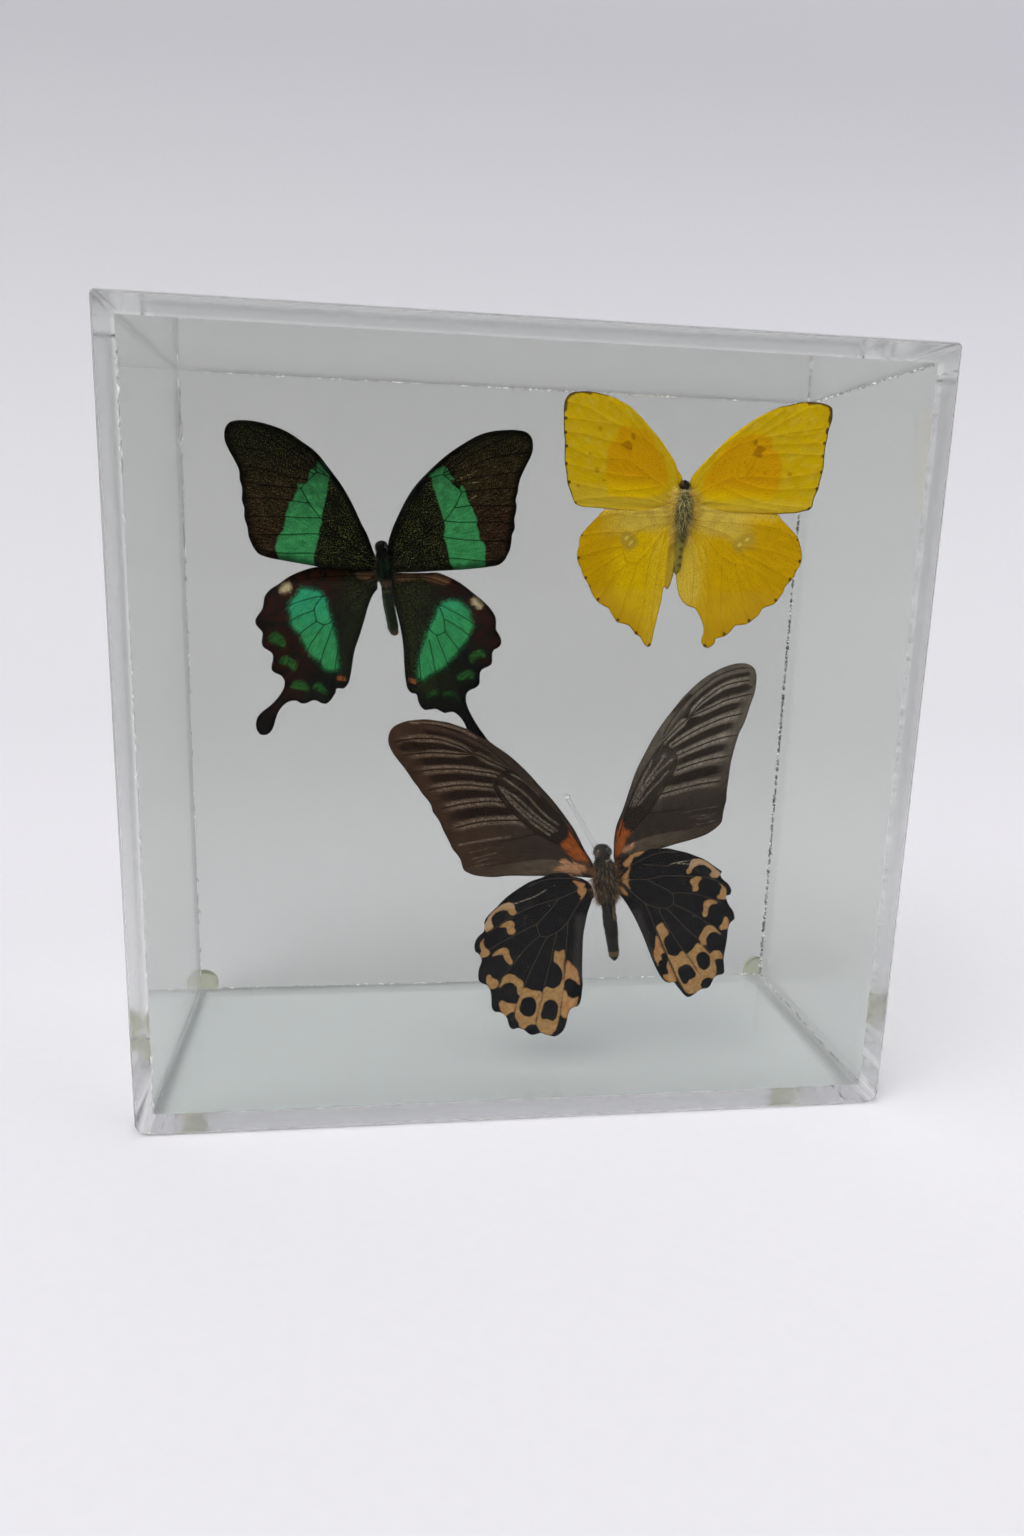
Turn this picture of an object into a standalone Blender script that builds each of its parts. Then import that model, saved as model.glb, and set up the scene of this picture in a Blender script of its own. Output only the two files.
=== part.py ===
# Three set butterflies in a clear acrylic box, metres, Z up.
# The origin is the middle of the underside; the front panel faces -Y.

import math
import bmesh
import bpy
from mathutils import Matrix, Vector

MM = 0.001
GAP = 0.3 * MM               # between pieces that touch

BOX_WIDTH = 203.2 * MM       # 8 in
BOX_HEIGHT = 203.2 * MM
BOX_DEPTH = 88.9 * MM        # 3.5 in
WALL = 4.5 * MM
TOP_ROUND = 1.2 * MM         # corner radius of the outline, top and bottom
BOTTOM_ROUND = 3.5 * MM
EDGE_ROUND = 0.6 * MM        # polished rim of the front and back sheets

BUMPER_RADIUS = 4.6 * MM
BUMPER_HEIGHT = 3.0 * MM
BUMPER_INSET = 5.0 * MM      # centre of a bumper from the box's side and underside

ROD_RADIUS = 0.8 * MM
WING_THICKNESS = 0.4 * MM
WING_STEP = 0.45 * MM        # forewing and hindwing lie this far to either side of the body's axis
CURVE_STEPS = 3              # segments between two outline points
BODY_SIDES = 16
BODY_DEPTH = 1.15            # bodies are a little deeper than wide

BACK_FACE = BOX_DEPTH / 2 - WALL   # Y of the back panel's inner face

# Each butterfly: where its thorax is, how far its head leans towards +X, how far each
# pair of wings is raised towards the viewer, and which pair lies nearer the viewer.
# Wing outlines are in mm in the wing's own plane: distance out from the body's axis, then
# distance up along it. They run round from the rear of the wing root, past the wing tip.
# A body profile is (distance up the axis, radius), from the head to the tip of the abdomen.

GREEN = {
    "thorax": Vector((-37.8, 1.5, 146.6)) * MM,
    "lean": -6.9,
    "raised": {"left": 4.0, "right": 4.0},
    "front_pair": "forewing",
    "forewing_left": [
        (2.0, -2.5), (2.0, 1.0), (4.5, 10.0), (8.5, 19.5), (13.5, 27.5), (18.5, 32.5), (24.0, 37.0),
        (30.0, 39.0), (35.0, 39.0), (37.5, 35.5), (36.0, 30.5), (35.0, 25.5), (35.5, 19.5),
        (35.0, 13.0), (34.5, 8.0), (32.5, 4.0), (23.5, 1.5), (15.0, -0.5), (7.0, -2.5),
    ],
    "forewing_right": [
        (2.0, -3.5), (2.0, 3.5), (4.0, 9.5), (6.5, 13.5), (12.0, 20.0), (18.5, 25.5), (26.0, 29.0),
        (34.5, 31.5), (41.5, 31.0), (44.0, 28.0), (42.5, 23.0), (40.0, 18.5), (38.5, 12.0),
        (37.0, 6.0), (35.5, 0.0), (32.5, -4.0), (23.5, -4.5), (12.5, -4.0),
    ],
    "hindwing_left": [
        (2.5, -7.0), (2.0, -2.5), (10.0, -2.0), (18.0, 0.0), (25.0, -2.0), (31.0, -5.0),
        (34.0, -8.5), (36.5, -13.5), (35.0, -16.5), (36.0, -19.5), (33.5, -22.0), (34.0, -26.0),
        (31.5, -29.0), (32.0, -32.5), (36.0, -36.0), (40.0, -40.0), (40.0, -44.0), (37.0, -44.0),
        (34.0, -39.5), (30.0, -36.0), (25.5, -37.0), (20.5, -37.5), (17.5, -34.5), (14.5, -33.5),
        (11.0, -24.5), (7.0, -15.0),
    ],
    "hindwing_right": [
        (1.0, -7.5), (2.0, -3.5), (13.5, -4.5), (21.0, -8.5), (27.0, -14.0), (29.5, -18.0),
        (30.5, -24.5), (29.0, -27.0), (27.5, -31.0), (24.0, -33.0), (23.0, -37.0), (19.0, -39.5),
        (19.5, -45.0), (22.5, -50.5), (25.5, -54.5), (25.5, -57.5), (23.0, -57.0), (20.0, -52.0),
        (18.0, -47.0), (15.5, -44.5), (8.0, -43.0), (5.0, -39.0), (3.0, -36.5), (3.0, -20.5),
    ],
    "body": [
        (4.9, 0.0), (4.4, 1.3), (3.4, 1.8), (2.3, 1.4), (1.2, 2.1), (-1.5, 2.4), (-4.8, 2.1),
        (-6.5, 1.5), (-9.5, 1.8), (-15.0, 1.7), (-19.0, 1.5), (-20.6, 0.9), (-21.0, 0.0),
    ],
    "rod_from": (0.0, -1.0),
    "rod_foot": (0.0, -1.0),
}

YELLOW = {
    "thorax": Vector((44.5, -5.5, 162.7)) * MM,
    "lean": 2.1,
    "raised": {"left": 9.0, "right": 3.0},
    "front_pair": "hindwing",
    "forewing_left": [
        (2.0, 1.0), (1.0, 7.5), (3.0, 11.5), (7.5, 17.0), (14.0, 23.0), (22.0, 27.0), (29.5, 28.5),
        (35.0, 27.0), (36.5, 23.5), (36.0, 15.5), (35.0, 8.5), (33.0, 2.0), (31.5, -0.5),
        (23.5, -1.5), (9.0, -1.5),
    ],
    "forewing_right": [
        (2.0, 2.5), (2.0, 8.0), (6.0, 14.5), (13.0, 22.0), (21.0, 27.5), (31.0, 31.0), (37.5, 31.0),
        (39.5, 28.0), (38.5, 19.5), (38.5, 12.5), (37.5, 6.0), (36.0, 2.5), (29.5, 1.0), (17.5, 0.0),
        (9.0, 0.0),
    ],
    "hindwing_left": [
        (3.0, -4.0), (3.0, 0.5), (11.0, 1.5), (20.0, 0.5), (26.0, -4.5), (30.0, -10.5),
        (29.5, -17.0), (25.5, -23.5), (20.5, -28.0), (16.0, -32.0), (11.0, -34.5), (8.0, -37.5),
        (6.0, -38.0), (5.5, -34.5), (4.0, -24.5), (3.5, -12.0),
    ],
    "hindwing_right": [
        (1.0, -5.0), (2.0, 0.5), (12.0, 2.5), (22.0, 2.5), (30.5, -2.0), (34.5, -7.5),
        (35.0, -12.5), (31.5, -19.5), (26.5, -26.0), (19.0, -31.5), (13.0, -35.0), (12.5, -36.5),
        (10.5, -37.5), (9.0, -35.5), (8.5, -30.0), (6.0, -26.5), (2.5, -24.5), (0.5, -18.0),
    ],
    "body": [
        (8.2, 0.0), (7.8, 0.9), (6.8, 1.4), (5.6, 1.2), (4.0, 2.3), (1.0, 2.8), (-3.0, 2.6),
        (-6.0, 2.0), (-10.0, 1.9), (-14.0, 1.5), (-16.8, 0.9), (-17.8, 0.0),
    ],
    "rod_from": (0.0, 0.0),
    "rod_foot": (0.0, 0.0),
}

BLACK = {
    "thorax": Vector((24.4, -20.5, 60.2)) * MM,
    "lean": -9.2,
    "raised": {"left": -4.0, "right": -4.0},
    "front_pair": "hindwing",
    "forewing_left": [
        (2.0, 3.0), (3.0, 6.0), (7.0, 16.0), (14.0, 28.0), (22.0, 39.5), (31.0, 47.5), (40.0, 52.0),
        (49.5, 52.5), (53.5, 50.0), (53.5, 44.0), (49.0, 36.0), (45.5, 28.5), (43.0, 22.0),
        (41.0, 15.5), (39.0, 9.5), (37.0, 7.0), (26.0, 5.5), (14.0, 3.5),
    ],
    "forewing_right": [
        (2.5, 3.0), (3.0, 7.0), (4.5, 13.5), (8.5, 22.5), (14.5, 32.5), (22.5, 43.0), (32.5, 51.0),
        (43.0, 55.0), (48.0, 54.0), (50.0, 49.5), (46.5, 40.0), (42.0, 31.5), (39.0, 22.5),
        (37.0, 13.5), (35.0, 9.0), (26.5, 7.5), (18.5, 6.0), (9.0, 3.5),
    ],
    "hindwing_left": [
        (3.0, -4.0), (3.0, 2.5), (12.0, 5.0), (19.0, 4.0), (26.0, 1.5), (33.0, -4.0), (36.5, -9.5),
        (39.5, -14.5), (38.0, -18.0), (39.5, -23.0), (37.0, -27.0), (37.0, -33.0), (33.5, -36.0),
        (32.5, -39.5), (27.5, -42.5), (20.5, -44.5), (17.0, -43.0), (14.5, -37.0), (11.5, -35.5),
        (9.5, -24.5), (7.5, -11.5),
    ],
    "hindwing_right": [
        (3.0, -3.5), (3.0, 3.0), (10.5, 7.0), (17.0, 6.0), (27.0, 2.5), (34.0, -4.0), (36.5, -10.0),
        (35.5, -13.0), (37.0, -18.0), (34.5, -23.5), (33.0, -29.0), (32.5, -35.0), (28.5, -36.5),
        (25.0, -38.5), (20.5, -40.0), (16.5, -34.5), (13.5, -33.5), (10.5, -25.0), (8.0, -15.0),
    ],
    "body": [
        (10.8, 0.0), (10.3, 1.5), (8.6, 2.4), (6.6, 2.0), (5.2, 2.6), (1.0, 3.0), (-3.5, 2.7),
        (-7.0, 2.0), (-13.0, 2.0), (-19.0, 1.6), (-23.5, 1.1), (-24.8, 0.0),
    ],
    "rod_from": (0.6, 4.8),      # behind the neck, as the rod leans in the photograph
    "rod_foot": (1.2, 9.6),
}

COLOURS = {
    "acrylic": (0.86, 0.88, 0.86, 0.03, 1.0),       # red, green, blue, roughness, transmission
    "bumper": (0.80, 0.80, 0.66, 0.25, 0.9),
    "green_wing": (0.020, 0.115, 0.062, 0.45, 0.0),
    "green_body": (0.010, 0.012, 0.008, 0.7, 0.0),
    "yellow_wing": (0.58, 0.32, 0.012, 0.6, 0.0),
    "yellow_body": (0.11, 0.11, 0.055, 0.8, 0.0),
    "black_forewing": (0.055, 0.042, 0.036, 0.6, 0.0),
    "black_hindwing": (0.016, 0.013, 0.013, 0.6, 0.0),
    "black_body": (0.028, 0.020, 0.015, 0.8, 0.0),
}


def clear_scene():
    for obj in list(bpy.data.objects):
        bpy.data.objects.remove(obj, do_unlink=True)


def new_collection(name, helpers=False):
    collection = bpy.data.collections.new(name)
    bpy.context.scene.collection.children.link(collection)
    collection.hide_render = helpers
    return collection


def material(name):
    found = bpy.data.materials.get(name)
    if found:
        return found
    red, green, blue, roughness, transmission = COLOURS[name]
    made = bpy.data.materials.new(name)
    made.use_nodes = True
    shader = made.node_tree.nodes["Principled BSDF"]
    shader.inputs["Base Color"].default_value = (red, green, blue, 1.0)
    shader.inputs["Roughness"].default_value = roughness
    shader.inputs["Metallic"].default_value = 0.0
    shader.inputs["Transmission Weight"].default_value = transmission
    shader.inputs["IOR"].default_value = 1.49
    made.diffuse_color = (red, green, blue, 1.0)
    return made


def add_mesh_object(name, mesh, collection, material_name):
    obj = bpy.data.objects.new(name, mesh)
    collection.objects.link(obj)
    mesh.materials.clear()
    mesh.materials.append(material(material_name))
    return obj


def outline_mesh(name, points, corners, thickness):
    """A flat outline through the points, smooth except at the named corners, given a thickness."""
    curve = bpy.data.curves.new(name + "_outline", "CURVE")
    curve.dimensions = "2D"
    curve.fill_mode = "BOTH"
    curve.extrude = thickness / 2
    curve.resolution_u = CURVE_STEPS
    spline = curve.splines.new("BEZIER")
    spline.bezier_points.add(len(points) - 1)
    spline.use_cyclic_u = True
    for index, (point, (x, y)) in enumerate(zip(spline.bezier_points, points)):
        handle = "VECTOR" if index in corners else "AUTO"
        point.co = (x, y, 0.0)
        point.handle_left_type = handle
        point.handle_right_type = handle
    return mesh_from_curve(name, curve)


def mesh_from_curve(name, curve):
    guide = bpy.data.objects.new(name + "_curve", curve)
    bpy.context.scene.collection.objects.link(guide)
    bpy.context.view_layer.update()
    evaluated = guide.evaluated_get(bpy.context.evaluated_depsgraph_get())
    mesh = bpy.data.meshes.new_from_object(evaluated)
    mesh.name = name
    bpy.data.objects.remove(guide, do_unlink=True)
    bpy.data.curves.remove(curve)
    work = bmesh.new()
    work.from_mesh(mesh)
    bmesh.ops.remove_doubles(work, verts=work.verts, dist=0.00001)
    bmesh.ops.recalc_face_normals(work, faces=work.faces)
    work.to_mesh(mesh)
    work.free()
    return mesh


# The six sheets

def rounded_rectangle(width, height, top_round, bottom_round):
    """Outline of a sheet seen from the front, standing on y = 0, its corners as short arcs."""
    steps = 4
    points = []
    for x_side, z_side, start in ((1, 0, -90), (1, 1, 0), (-1, 1, 90), (-1, 0, 180)):
        radius = top_round if z_side else bottom_round
        centre_x = x_side * (width / 2 - radius)
        centre_z = height - radius if z_side else radius
        if radius == 0:
            points.append((centre_x, centre_z))
            continue
        for step in range(steps + 1):
            turn = math.radians(start + 90 * step / steps)
            points.append((centre_x + radius * math.cos(turn), centre_z + radius * math.sin(turn)))
    return points


def sheet(name, collection, outline, depth, centre_y, rim=0.0):
    """An upright slab with the given front outline, running along Y."""
    mesh = outline_mesh(name, outline, range(len(outline)), depth)
    obj = add_mesh_object(name, mesh, collection, "acrylic")
    obj.rotation_euler = (math.radians(90), 0, 0)
    obj.location = (0, centre_y, 0)
    if rim:
        bevel = obj.modifiers.new("PolishedRim", "BEVEL")
        bevel.width = rim
        bevel.segments = 2
        bevel.limit_method = "ANGLE"
        bevel.angle_limit = math.radians(60)
    return obj


def build_box(collection):
    face = rounded_rectangle(BOX_WIDTH, BOX_HEIGHT, TOP_ROUND, BOTTOM_ROUND)
    sheet("front_panel", collection, face, WALL, -(BOX_DEPTH - WALL) / 2, EDGE_ROUND)
    sheet("back_panel", collection, face, WALL, (BOX_DEPTH - WALL) / 2, EDGE_ROUND)

    inner_depth = BOX_DEPTH - 2 * WALL - 2 * GAP
    bottom = rounded_rectangle(BOX_WIDTH, WALL, 0, BOTTOM_ROUND)
    sheet("bottom_panel", collection, bottom, inner_depth, 0)
    top = sheet("top_panel", collection, rounded_rectangle(BOX_WIDTH, WALL, TOP_ROUND, 0), inner_depth, 0)
    top.location.z = BOX_HEIGHT - WALL

    side_height = BOX_HEIGHT - 2 * WALL - 2 * GAP
    side = rounded_rectangle(WALL, side_height, 0, 0)
    for name, direction in (("left_panel", -1), ("right_panel", 1)):
        wall = sheet(name, collection, side, inner_depth, 0)
        wall.location.x = direction * (BOX_WIDTH - WALL) / 2
        wall.location.z = WALL + GAP


def build_bumpers(collection):
    """Two soft domes on the outside of the back panel, at its lower corners."""
    steps = 5
    dome = [(0.0, BUMPER_HEIGHT)]
    for step in range(1, steps + 1):
        turn = math.radians(90 * step / steps)
        dome.append((BUMPER_RADIUS * math.sin(turn), BUMPER_HEIGHT * (0.35 + 0.65 * math.cos(turn))))
    dome += [(BUMPER_RADIUS, 0.0), (0.0, 0.0)]
    for name, direction in (("bumper_left", -1), ("bumper_right", 1)):
        bumper = turned(name, dome, collection, "bumper", 24)
        bumper.rotation_euler = (math.radians(-90), 0, 0)
        x = direction * (BOX_WIDTH / 2 - BUMPER_INSET)
        bumper.location = (x, BOX_DEPTH / 2 + GAP, BUMPER_INSET)


def turned(name, profile, collection, material_name, sides):
    """A solid turned about its own Z axis from (radius, height) points, listed top to bottom."""
    mesh = bpy.data.meshes.new(name)
    work = bmesh.new()
    points = [work.verts.new((radius, 0.0, height)) for radius, height in profile]
    for first, second in zip(points, points[1:]):
        work.edges.new((first, second))
    work.to_mesh(mesh)
    work.free()
    obj = add_mesh_object(name, mesh, collection, material_name)
    screw = obj.modifiers.new("Turn", "SCREW")
    screw.axis = "Z"
    screw.steps = sides
    screw.render_steps = sides
    screw.use_merge_vertices = True
    screw.merge_threshold = 0.00001
    screw.use_smooth_shade = True
    return obj


# The butterflies

def set_out_frame(name, butterfly, collection):
    """An empty at the thorax, its Z axis along the body and its Y axis away from the viewer."""
    frame = bpy.data.objects.new(name + "_frame", None)
    collection.objects.link(frame)
    frame.empty_display_size = 0.01
    frame.location = butterfly["thorax"]
    frame.rotation_euler = (0, math.radians(butterfly["lean"]), 0)
    return frame


def build_body(name, butterfly, frame, collection):
    profile = [(radius * MM, along * MM) for along, radius in butterfly["body"]]
    body = turned(name + "_body", profile, collection, name + "_body", BODY_SIDES)
    body.parent = frame
    body.scale = (1.0, BODY_DEPTH, 1.0)
    return body


def build_clearance(name, butterfly, frame, cutters):
    """The body grown by the gap: it trims the wing roots and the rod so that they stop at the body."""
    profile = []
    last = len(butterfly["body"]) - 1
    for index, (along, radius) in enumerate(butterfly["body"]):
        ends = GAP if index == 0 else -GAP if index == last else 0.0
        grown = radius * MM + GAP if 0 < index < last else 0.0
        profile.append((grown, along * MM + ends))
    cutter = turned(name + "_clearance", profile, cutters, name + "_body", BODY_SIDES)
    cutter.parent = frame
    cutter.scale = (1.0, BODY_DEPTH, 1.0)
    hide_helper(cutter)
    return cutter


def hide_helper(obj):
    obj.hide_render = True
    obj.display_type = "WIRE"


def cut(obj, cutter):
    boolean = obj.modifiers.new("StopAtBody", "BOOLEAN")
    boolean.operation = "DIFFERENCE"
    boolean.solver = "EXACT"
    boolean.object = cutter


def build_wing(name, butterfly, pair, side, frame, clearance, collection):
    """One flat wing. The outline's plane turns about the body's axis by the angle it is raised."""
    outline = [(x * MM, y * MM) for x, y in butterfly[f"{pair}_{side}"]]
    hand = -1 if side == "left" else 1
    outline = [(hand * x, y) for x, y in outline]
    mesh = outline_mesh(f"{name}_{pair}_{side}", outline, (0, 1), WING_THICKNESS)
    colour = f"{name}_{pair}" if name == "black" else f"{name}_wing"
    wing = add_mesh_object(f"{name}_{pair}_{side}", mesh, collection, colour)
    wing.parent = frame
    layer = -WING_STEP if pair == butterfly["front_pair"] else WING_STEP
    raised = math.radians(-hand * butterfly["raised"][side])
    stand = Matrix.Rotation(math.radians(90), 4, "X")
    wing.matrix_local = Matrix.Rotation(raised, 4, "Z") @ Matrix.Translation((0, layer, 0)) @ stand
    cut(wing, clearance)


def build_rod(name, butterfly, frame, clearance, collection):
    """A clear rod from inside the thorax to the back panel, trimmed where it meets the body."""
    axes = frame.matrix_basis
    start = axes @ Vector((butterfly["rod_from"][0] * MM, 0.0, butterfly["rod_from"][1] * MM))
    foot = axes @ Vector((butterfly["rod_foot"][0] * MM, 0.0, butterfly["rod_foot"][1] * MM))
    start.y += WING_STEP + WING_THICKNESS + 0.6 * MM
    foot.y = BACK_FACE - GAP
    curve = bpy.data.curves.new(name + "_rod", "CURVE")
    curve.dimensions = "3D"
    curve.bevel_depth = ROD_RADIUS
    curve.bevel_resolution = 3
    curve.use_fill_caps = True
    spline = curve.splines.new("POLY")
    spline.points.add(1)
    spline.points[0].co = (*start, 1.0)
    spline.points[1].co = (*foot, 1.0)
    rod = add_mesh_object(name + "_rod", mesh_from_curve(name + "_rod", curve), collection, "acrylic")
    cut(rod, clearance)


def build_butterfly(name, butterfly, collection, cutters):
    frame = set_out_frame(name, butterfly, collection)
    build_body(name, butterfly, frame, collection)
    clearance = build_clearance(name, butterfly, frame, cutters)
    for pair in ("forewing", "hindwing"):
        for side in ("left", "right"):
            build_wing(name, butterfly, pair, side, frame, clearance, collection)
    build_rod(name, butterfly, frame, clearance, collection)


def main():
    clear_scene()
    collection = new_collection("FramedButterflies")
    cutters = new_collection("Cutters", helpers=True)
    build_box(collection)
    build_bumpers(collection)
    for name, butterfly in (("green", GREEN), ("yellow", YELLOW), ("black", BLACK)):
        build_butterfly(name, butterfly, collection, cutters)


main()
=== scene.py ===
import math
import random

import bmesh
import bpy
import numpy as np
from mathutils import Matrix, Vector
from mathutils.geometry import delaunay_2d_cdt


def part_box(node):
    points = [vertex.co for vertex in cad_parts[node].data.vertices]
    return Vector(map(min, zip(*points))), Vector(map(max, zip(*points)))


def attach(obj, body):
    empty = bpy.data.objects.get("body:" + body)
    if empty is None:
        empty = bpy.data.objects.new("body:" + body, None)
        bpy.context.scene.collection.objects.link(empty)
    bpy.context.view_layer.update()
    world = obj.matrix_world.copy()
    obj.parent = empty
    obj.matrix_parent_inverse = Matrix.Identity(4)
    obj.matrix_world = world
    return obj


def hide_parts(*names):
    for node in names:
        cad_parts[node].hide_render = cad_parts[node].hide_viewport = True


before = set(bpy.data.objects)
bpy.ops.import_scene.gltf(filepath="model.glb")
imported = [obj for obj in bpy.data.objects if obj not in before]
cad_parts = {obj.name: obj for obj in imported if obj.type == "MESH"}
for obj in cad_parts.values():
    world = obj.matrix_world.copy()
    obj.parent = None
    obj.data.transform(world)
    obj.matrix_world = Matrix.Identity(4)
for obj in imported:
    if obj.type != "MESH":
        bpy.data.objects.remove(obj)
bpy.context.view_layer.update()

mm = 0.001                    # wings, bodies and glue are written in mm, the scene is in metres
chance = random.Random(7)

# What the photograph's colours lose on their way in and out of the case, and how bright a scale can be
throughCase = 0.53
veil = 0.003                  # what the front's reflection adds
brightest = 0.95
darkest = 0.0008
wingRoot = (1.0, 0.0, 0.0)    # mm in a wing's plane: its grain fans out from here


def linear(part):
    part /= 255
    return part / 12.92 if part < 0.04 else ((part + 0.055) / 1.055) ** 2.4


def seen(red, green, blue):
    # a colour as it shows behind the clear front, turned into the surface's own colour
    own = (max(linear(part) - veil, darkest) / throughCase for part in (red, green, blue))
    return tuple(min(brightest, part) for part in own)


def grey(shade):
    return (shade,) * 3


class Signal:
    # what a node gives out; sums and products of it make further nodes
    def __init__(self, paint, socket):
        self.paint = paint
        self.socket = socket

    def __add__(self, other):
        return self.paint.reckon("ADD", self, other)

    def __sub__(self, number):
        return self + -number

    def __mul__(self, other):
        return self.paint.reckon("MULTIPLY", self, other)


class Paint:
    # a material's nodes, built a step at a time; a colour is (red, green, blue) or a name in the palette
    def __init__(self, name, palette=None, **values):
        self.material = bpy.data.materials.new(name)
        self.material.use_nodes = True
        self.tree = self.material.node_tree
        self.shader = self.tree.nodes["Principled BSDF"]
        self.attributes = {}
        self.palette = palette
        self.colour = None            # the layers so far
        for key, value in values.items():
            self.give(key.replace("_", " "), value)

    def feed(self, socket, value):
        if isinstance(value, Signal):
            self.tree.links.new(value.socket, socket)
            return
        if isinstance(value, str):
            value = seen(*self.palette[value])
        socket.default_value = (*value, 1.0) if socket.type == "RGBA" else value

    def give(self, name, value):
        self.feed(self.shader.inputs[name], value)

    def node(self, kind, inputs, output=0, **settings):
        made = self.tree.nodes.new("ShaderNode" + kind)
        for key, value in settings.items():
            setattr(made, key, value)
        for key, value in inputs.items():
            self.feed(made.inputs[key], value)
        return Signal(self, made.outputs[output])

    def read(self, name):
        if name not in self.attributes:
            self.attributes[name] = self.node("Attribute", {}, "Fac", attribute_name=name)
        return self.attributes[name]

    def plane(self):
        # places in the wing's own plane in mm
        if "plane" not in self.attributes:
            self.attributes["plane"] = self.node("Attribute", {}, "Vector", attribute_name="plane")
        return self.attributes["plane"]

    def place(self):
        return self.node("TexCoord", {}, "Object")

    def apart(self, where):
        node = self.node("SeparateXYZ", {0: where}).socket.node
        return {axis: Signal(self, node.outputs[axis]) for axis in "XYZ"}

    def noise(self, scale, detail=3.0, roughness=0.55, where=None):
        inputs = {"Vector": where or self.plane(), "Scale": scale, "Detail": detail,
                  "Roughness": roughness}
        return self.node("TexNoise", inputs, "Fac")

    def strands(self, across, along, detail, roughness):
        # noise in lines that fan out from the wing's root
        offset = self.node("VectorMath", {0: self.plane(), 1: wingRoot}, "Vector", operation="SUBTRACT")
        place = self.apart(offset)
        turn = self.reckon("ARCTAN2", place["Y"], place["X"])
        reach = self.length(offset)
        fan = self.node("CombineXYZ", {"X": turn * across, "Y": reach * along})
        return self.noise(1.0, detail, roughness, where=fan)

    def length(self, vector):
        return self.node("VectorMath", {0: vector}, "Value", operation="LENGTH")

    def reckon(self, operation, *numbers):
        return self.node("Math", dict(enumerate(numbers)), operation=operation)

    def most(self, first, second):
        return self.reckon("MAXIMUM", first, second)

    def step(self, value, low, high, least=0.0, most=1.0):
        # smooth from low to high, and low may be the larger; value can be the name given to keep()
        if isinstance(value, str):
            value = self.read(value)
        inputs = {"Value": value, "From Min": low, "From Max": high, "To Min": least, "To Max": most}
        return self.node("MapRange", inputs, "Result", interpolation_type="SMOOTHSTEP")

    def ragged(self, name, rough, scale):
        # a mark's signed distance with a wandering edge
        wander = (self.noise(scale, 4.0, 0.65) - 0.5) * (2.0 * rough)
        return self.read(name) + wander

    def mark(self, name, soft, rough=0.25, scale=1.2):
        return self.step(self.ragged(name, rough, scale), -soft, soft)

    def vein(self, width, soft=0.12):
        return self.step("veinAway", width + soft, max(width - soft, 0.0))

    def between(self, value, low, high, soft):
        # 1 from low to high, smooth at both ends
        return self.step(value, low - soft, low + soft) * self.step(value, high + soft, high - soft)

    def mix(self, amount, under, over, blend="MIX"):
        made = self.tree.nodes.new("ShaderNodeMix")
        made.data_type = "RGBA"
        made.blend_type = blend
        self.feed(made.inputs[0], amount)
        self.feed(made.inputs[6], under)
        self.feed(made.inputs[7], over)
        return Signal(self, made.outputs[2])

    def multiply(self, first, second):
        return self.mix(1.0, first, second, "MULTIPLY")

    def over(self, amount, colour, share=1.0):
        # one more layer on the colour so far
        if share != 1.0:
            amount = amount * share
        self.colour = self.mix(amount, self.colour, colour)

    def bump(self, height, distance, strength=1.0):
        inputs = {"Height": height, "Distance": distance, "Strength": strength}
        self.give("Normal", self.node("Bump", inputs, "Normal"))


# Lines and shapes, in mm

def smoothLine(points, step, closed=False):
    # a smooth line through given points; a point written twice is a corner
    places = []
    corner = []
    for point in points:
        if places and point == places[-1]:
            corner[-1] = True
        else:
            places.append(point)
            corner.append(False)
    places = np.array(places, float)
    count = len(places)
    spans = count if closed else count - 1
    hops = [places[(i + 1) % count] - places[i] for i in range(spans)]
    reach = [float(np.linalg.norm(hop)) for hop in hops]

    def heading(index, leaving):
        before = (index - 1) % count if closed or index > 0 else None
        after = index if index < spans else None
        if before is None or corner[index] and leaving:
            return hops[after] / reach[after]
        if after is None or corner[index]:
            return hops[before] / reach[before]
        ahead = hops[after] / reach[after] * reach[before]
        behind = hops[before] / reach[before] * reach[after]
        return (ahead + behind) / (reach[before] + reach[after])

    line = []
    for index in range(spans):
        following = (index + 1) % count
        leave = heading(index, True) * reach[index]
        arrive = heading(following, False) * reach[index]
        steps = max(1, round(reach[index] / step))
        for t in np.arange(steps) / steps:
            line.append((2 * t**3 - 3 * t**2 + 1) * places[index] + (t**3 - 2 * t**2 + t) * leave
                        + (3 * t**2 - 2 * t**3) * places[following] + (t**3 - t**2) * arrive)
    if not closed:
        line.append(places[-1])
    return np.array(line)


def distanceTo(points, line):
    starts = line[:-1]
    runs = line[1:] - starts
    size = np.maximum((runs**2).sum(1), 1e-9)
    away = np.empty(len(points))
    batch = 4000
    for begin in range(0, len(points), batch):
        offset = points[begin:begin + batch, None, :] - starts[None]
        share = np.clip((offset * runs).sum(2) / size, 0.0, 1.0)
        away[begin:begin + batch] = np.sqrt(((offset - share[..., None] * runs)**2).sum(2)).min(1)
    return away


def depthInside(points, loop):
    # distance to a closed loop, above 0 inside it and below 0 outside
    closed = np.vstack([loop, loop[:1]])
    away = distanceTo(points, closed)
    x = points[:, :1]
    y = points[:, 1:]
    startX, startY = closed[:-1, 0], closed[:-1, 1]
    endX, endY = closed[1:, 0], closed[1:, 1]
    rise = np.where(endY == startY, 1e-9, endY - startY)
    crosses = ((startY > y) != (endY > y)) & (x < startX + (endX - startX) * (y - startY) / rise)
    inside = crosses.sum(1) % 2 == 1
    return np.where(inside, away, -away)


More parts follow.
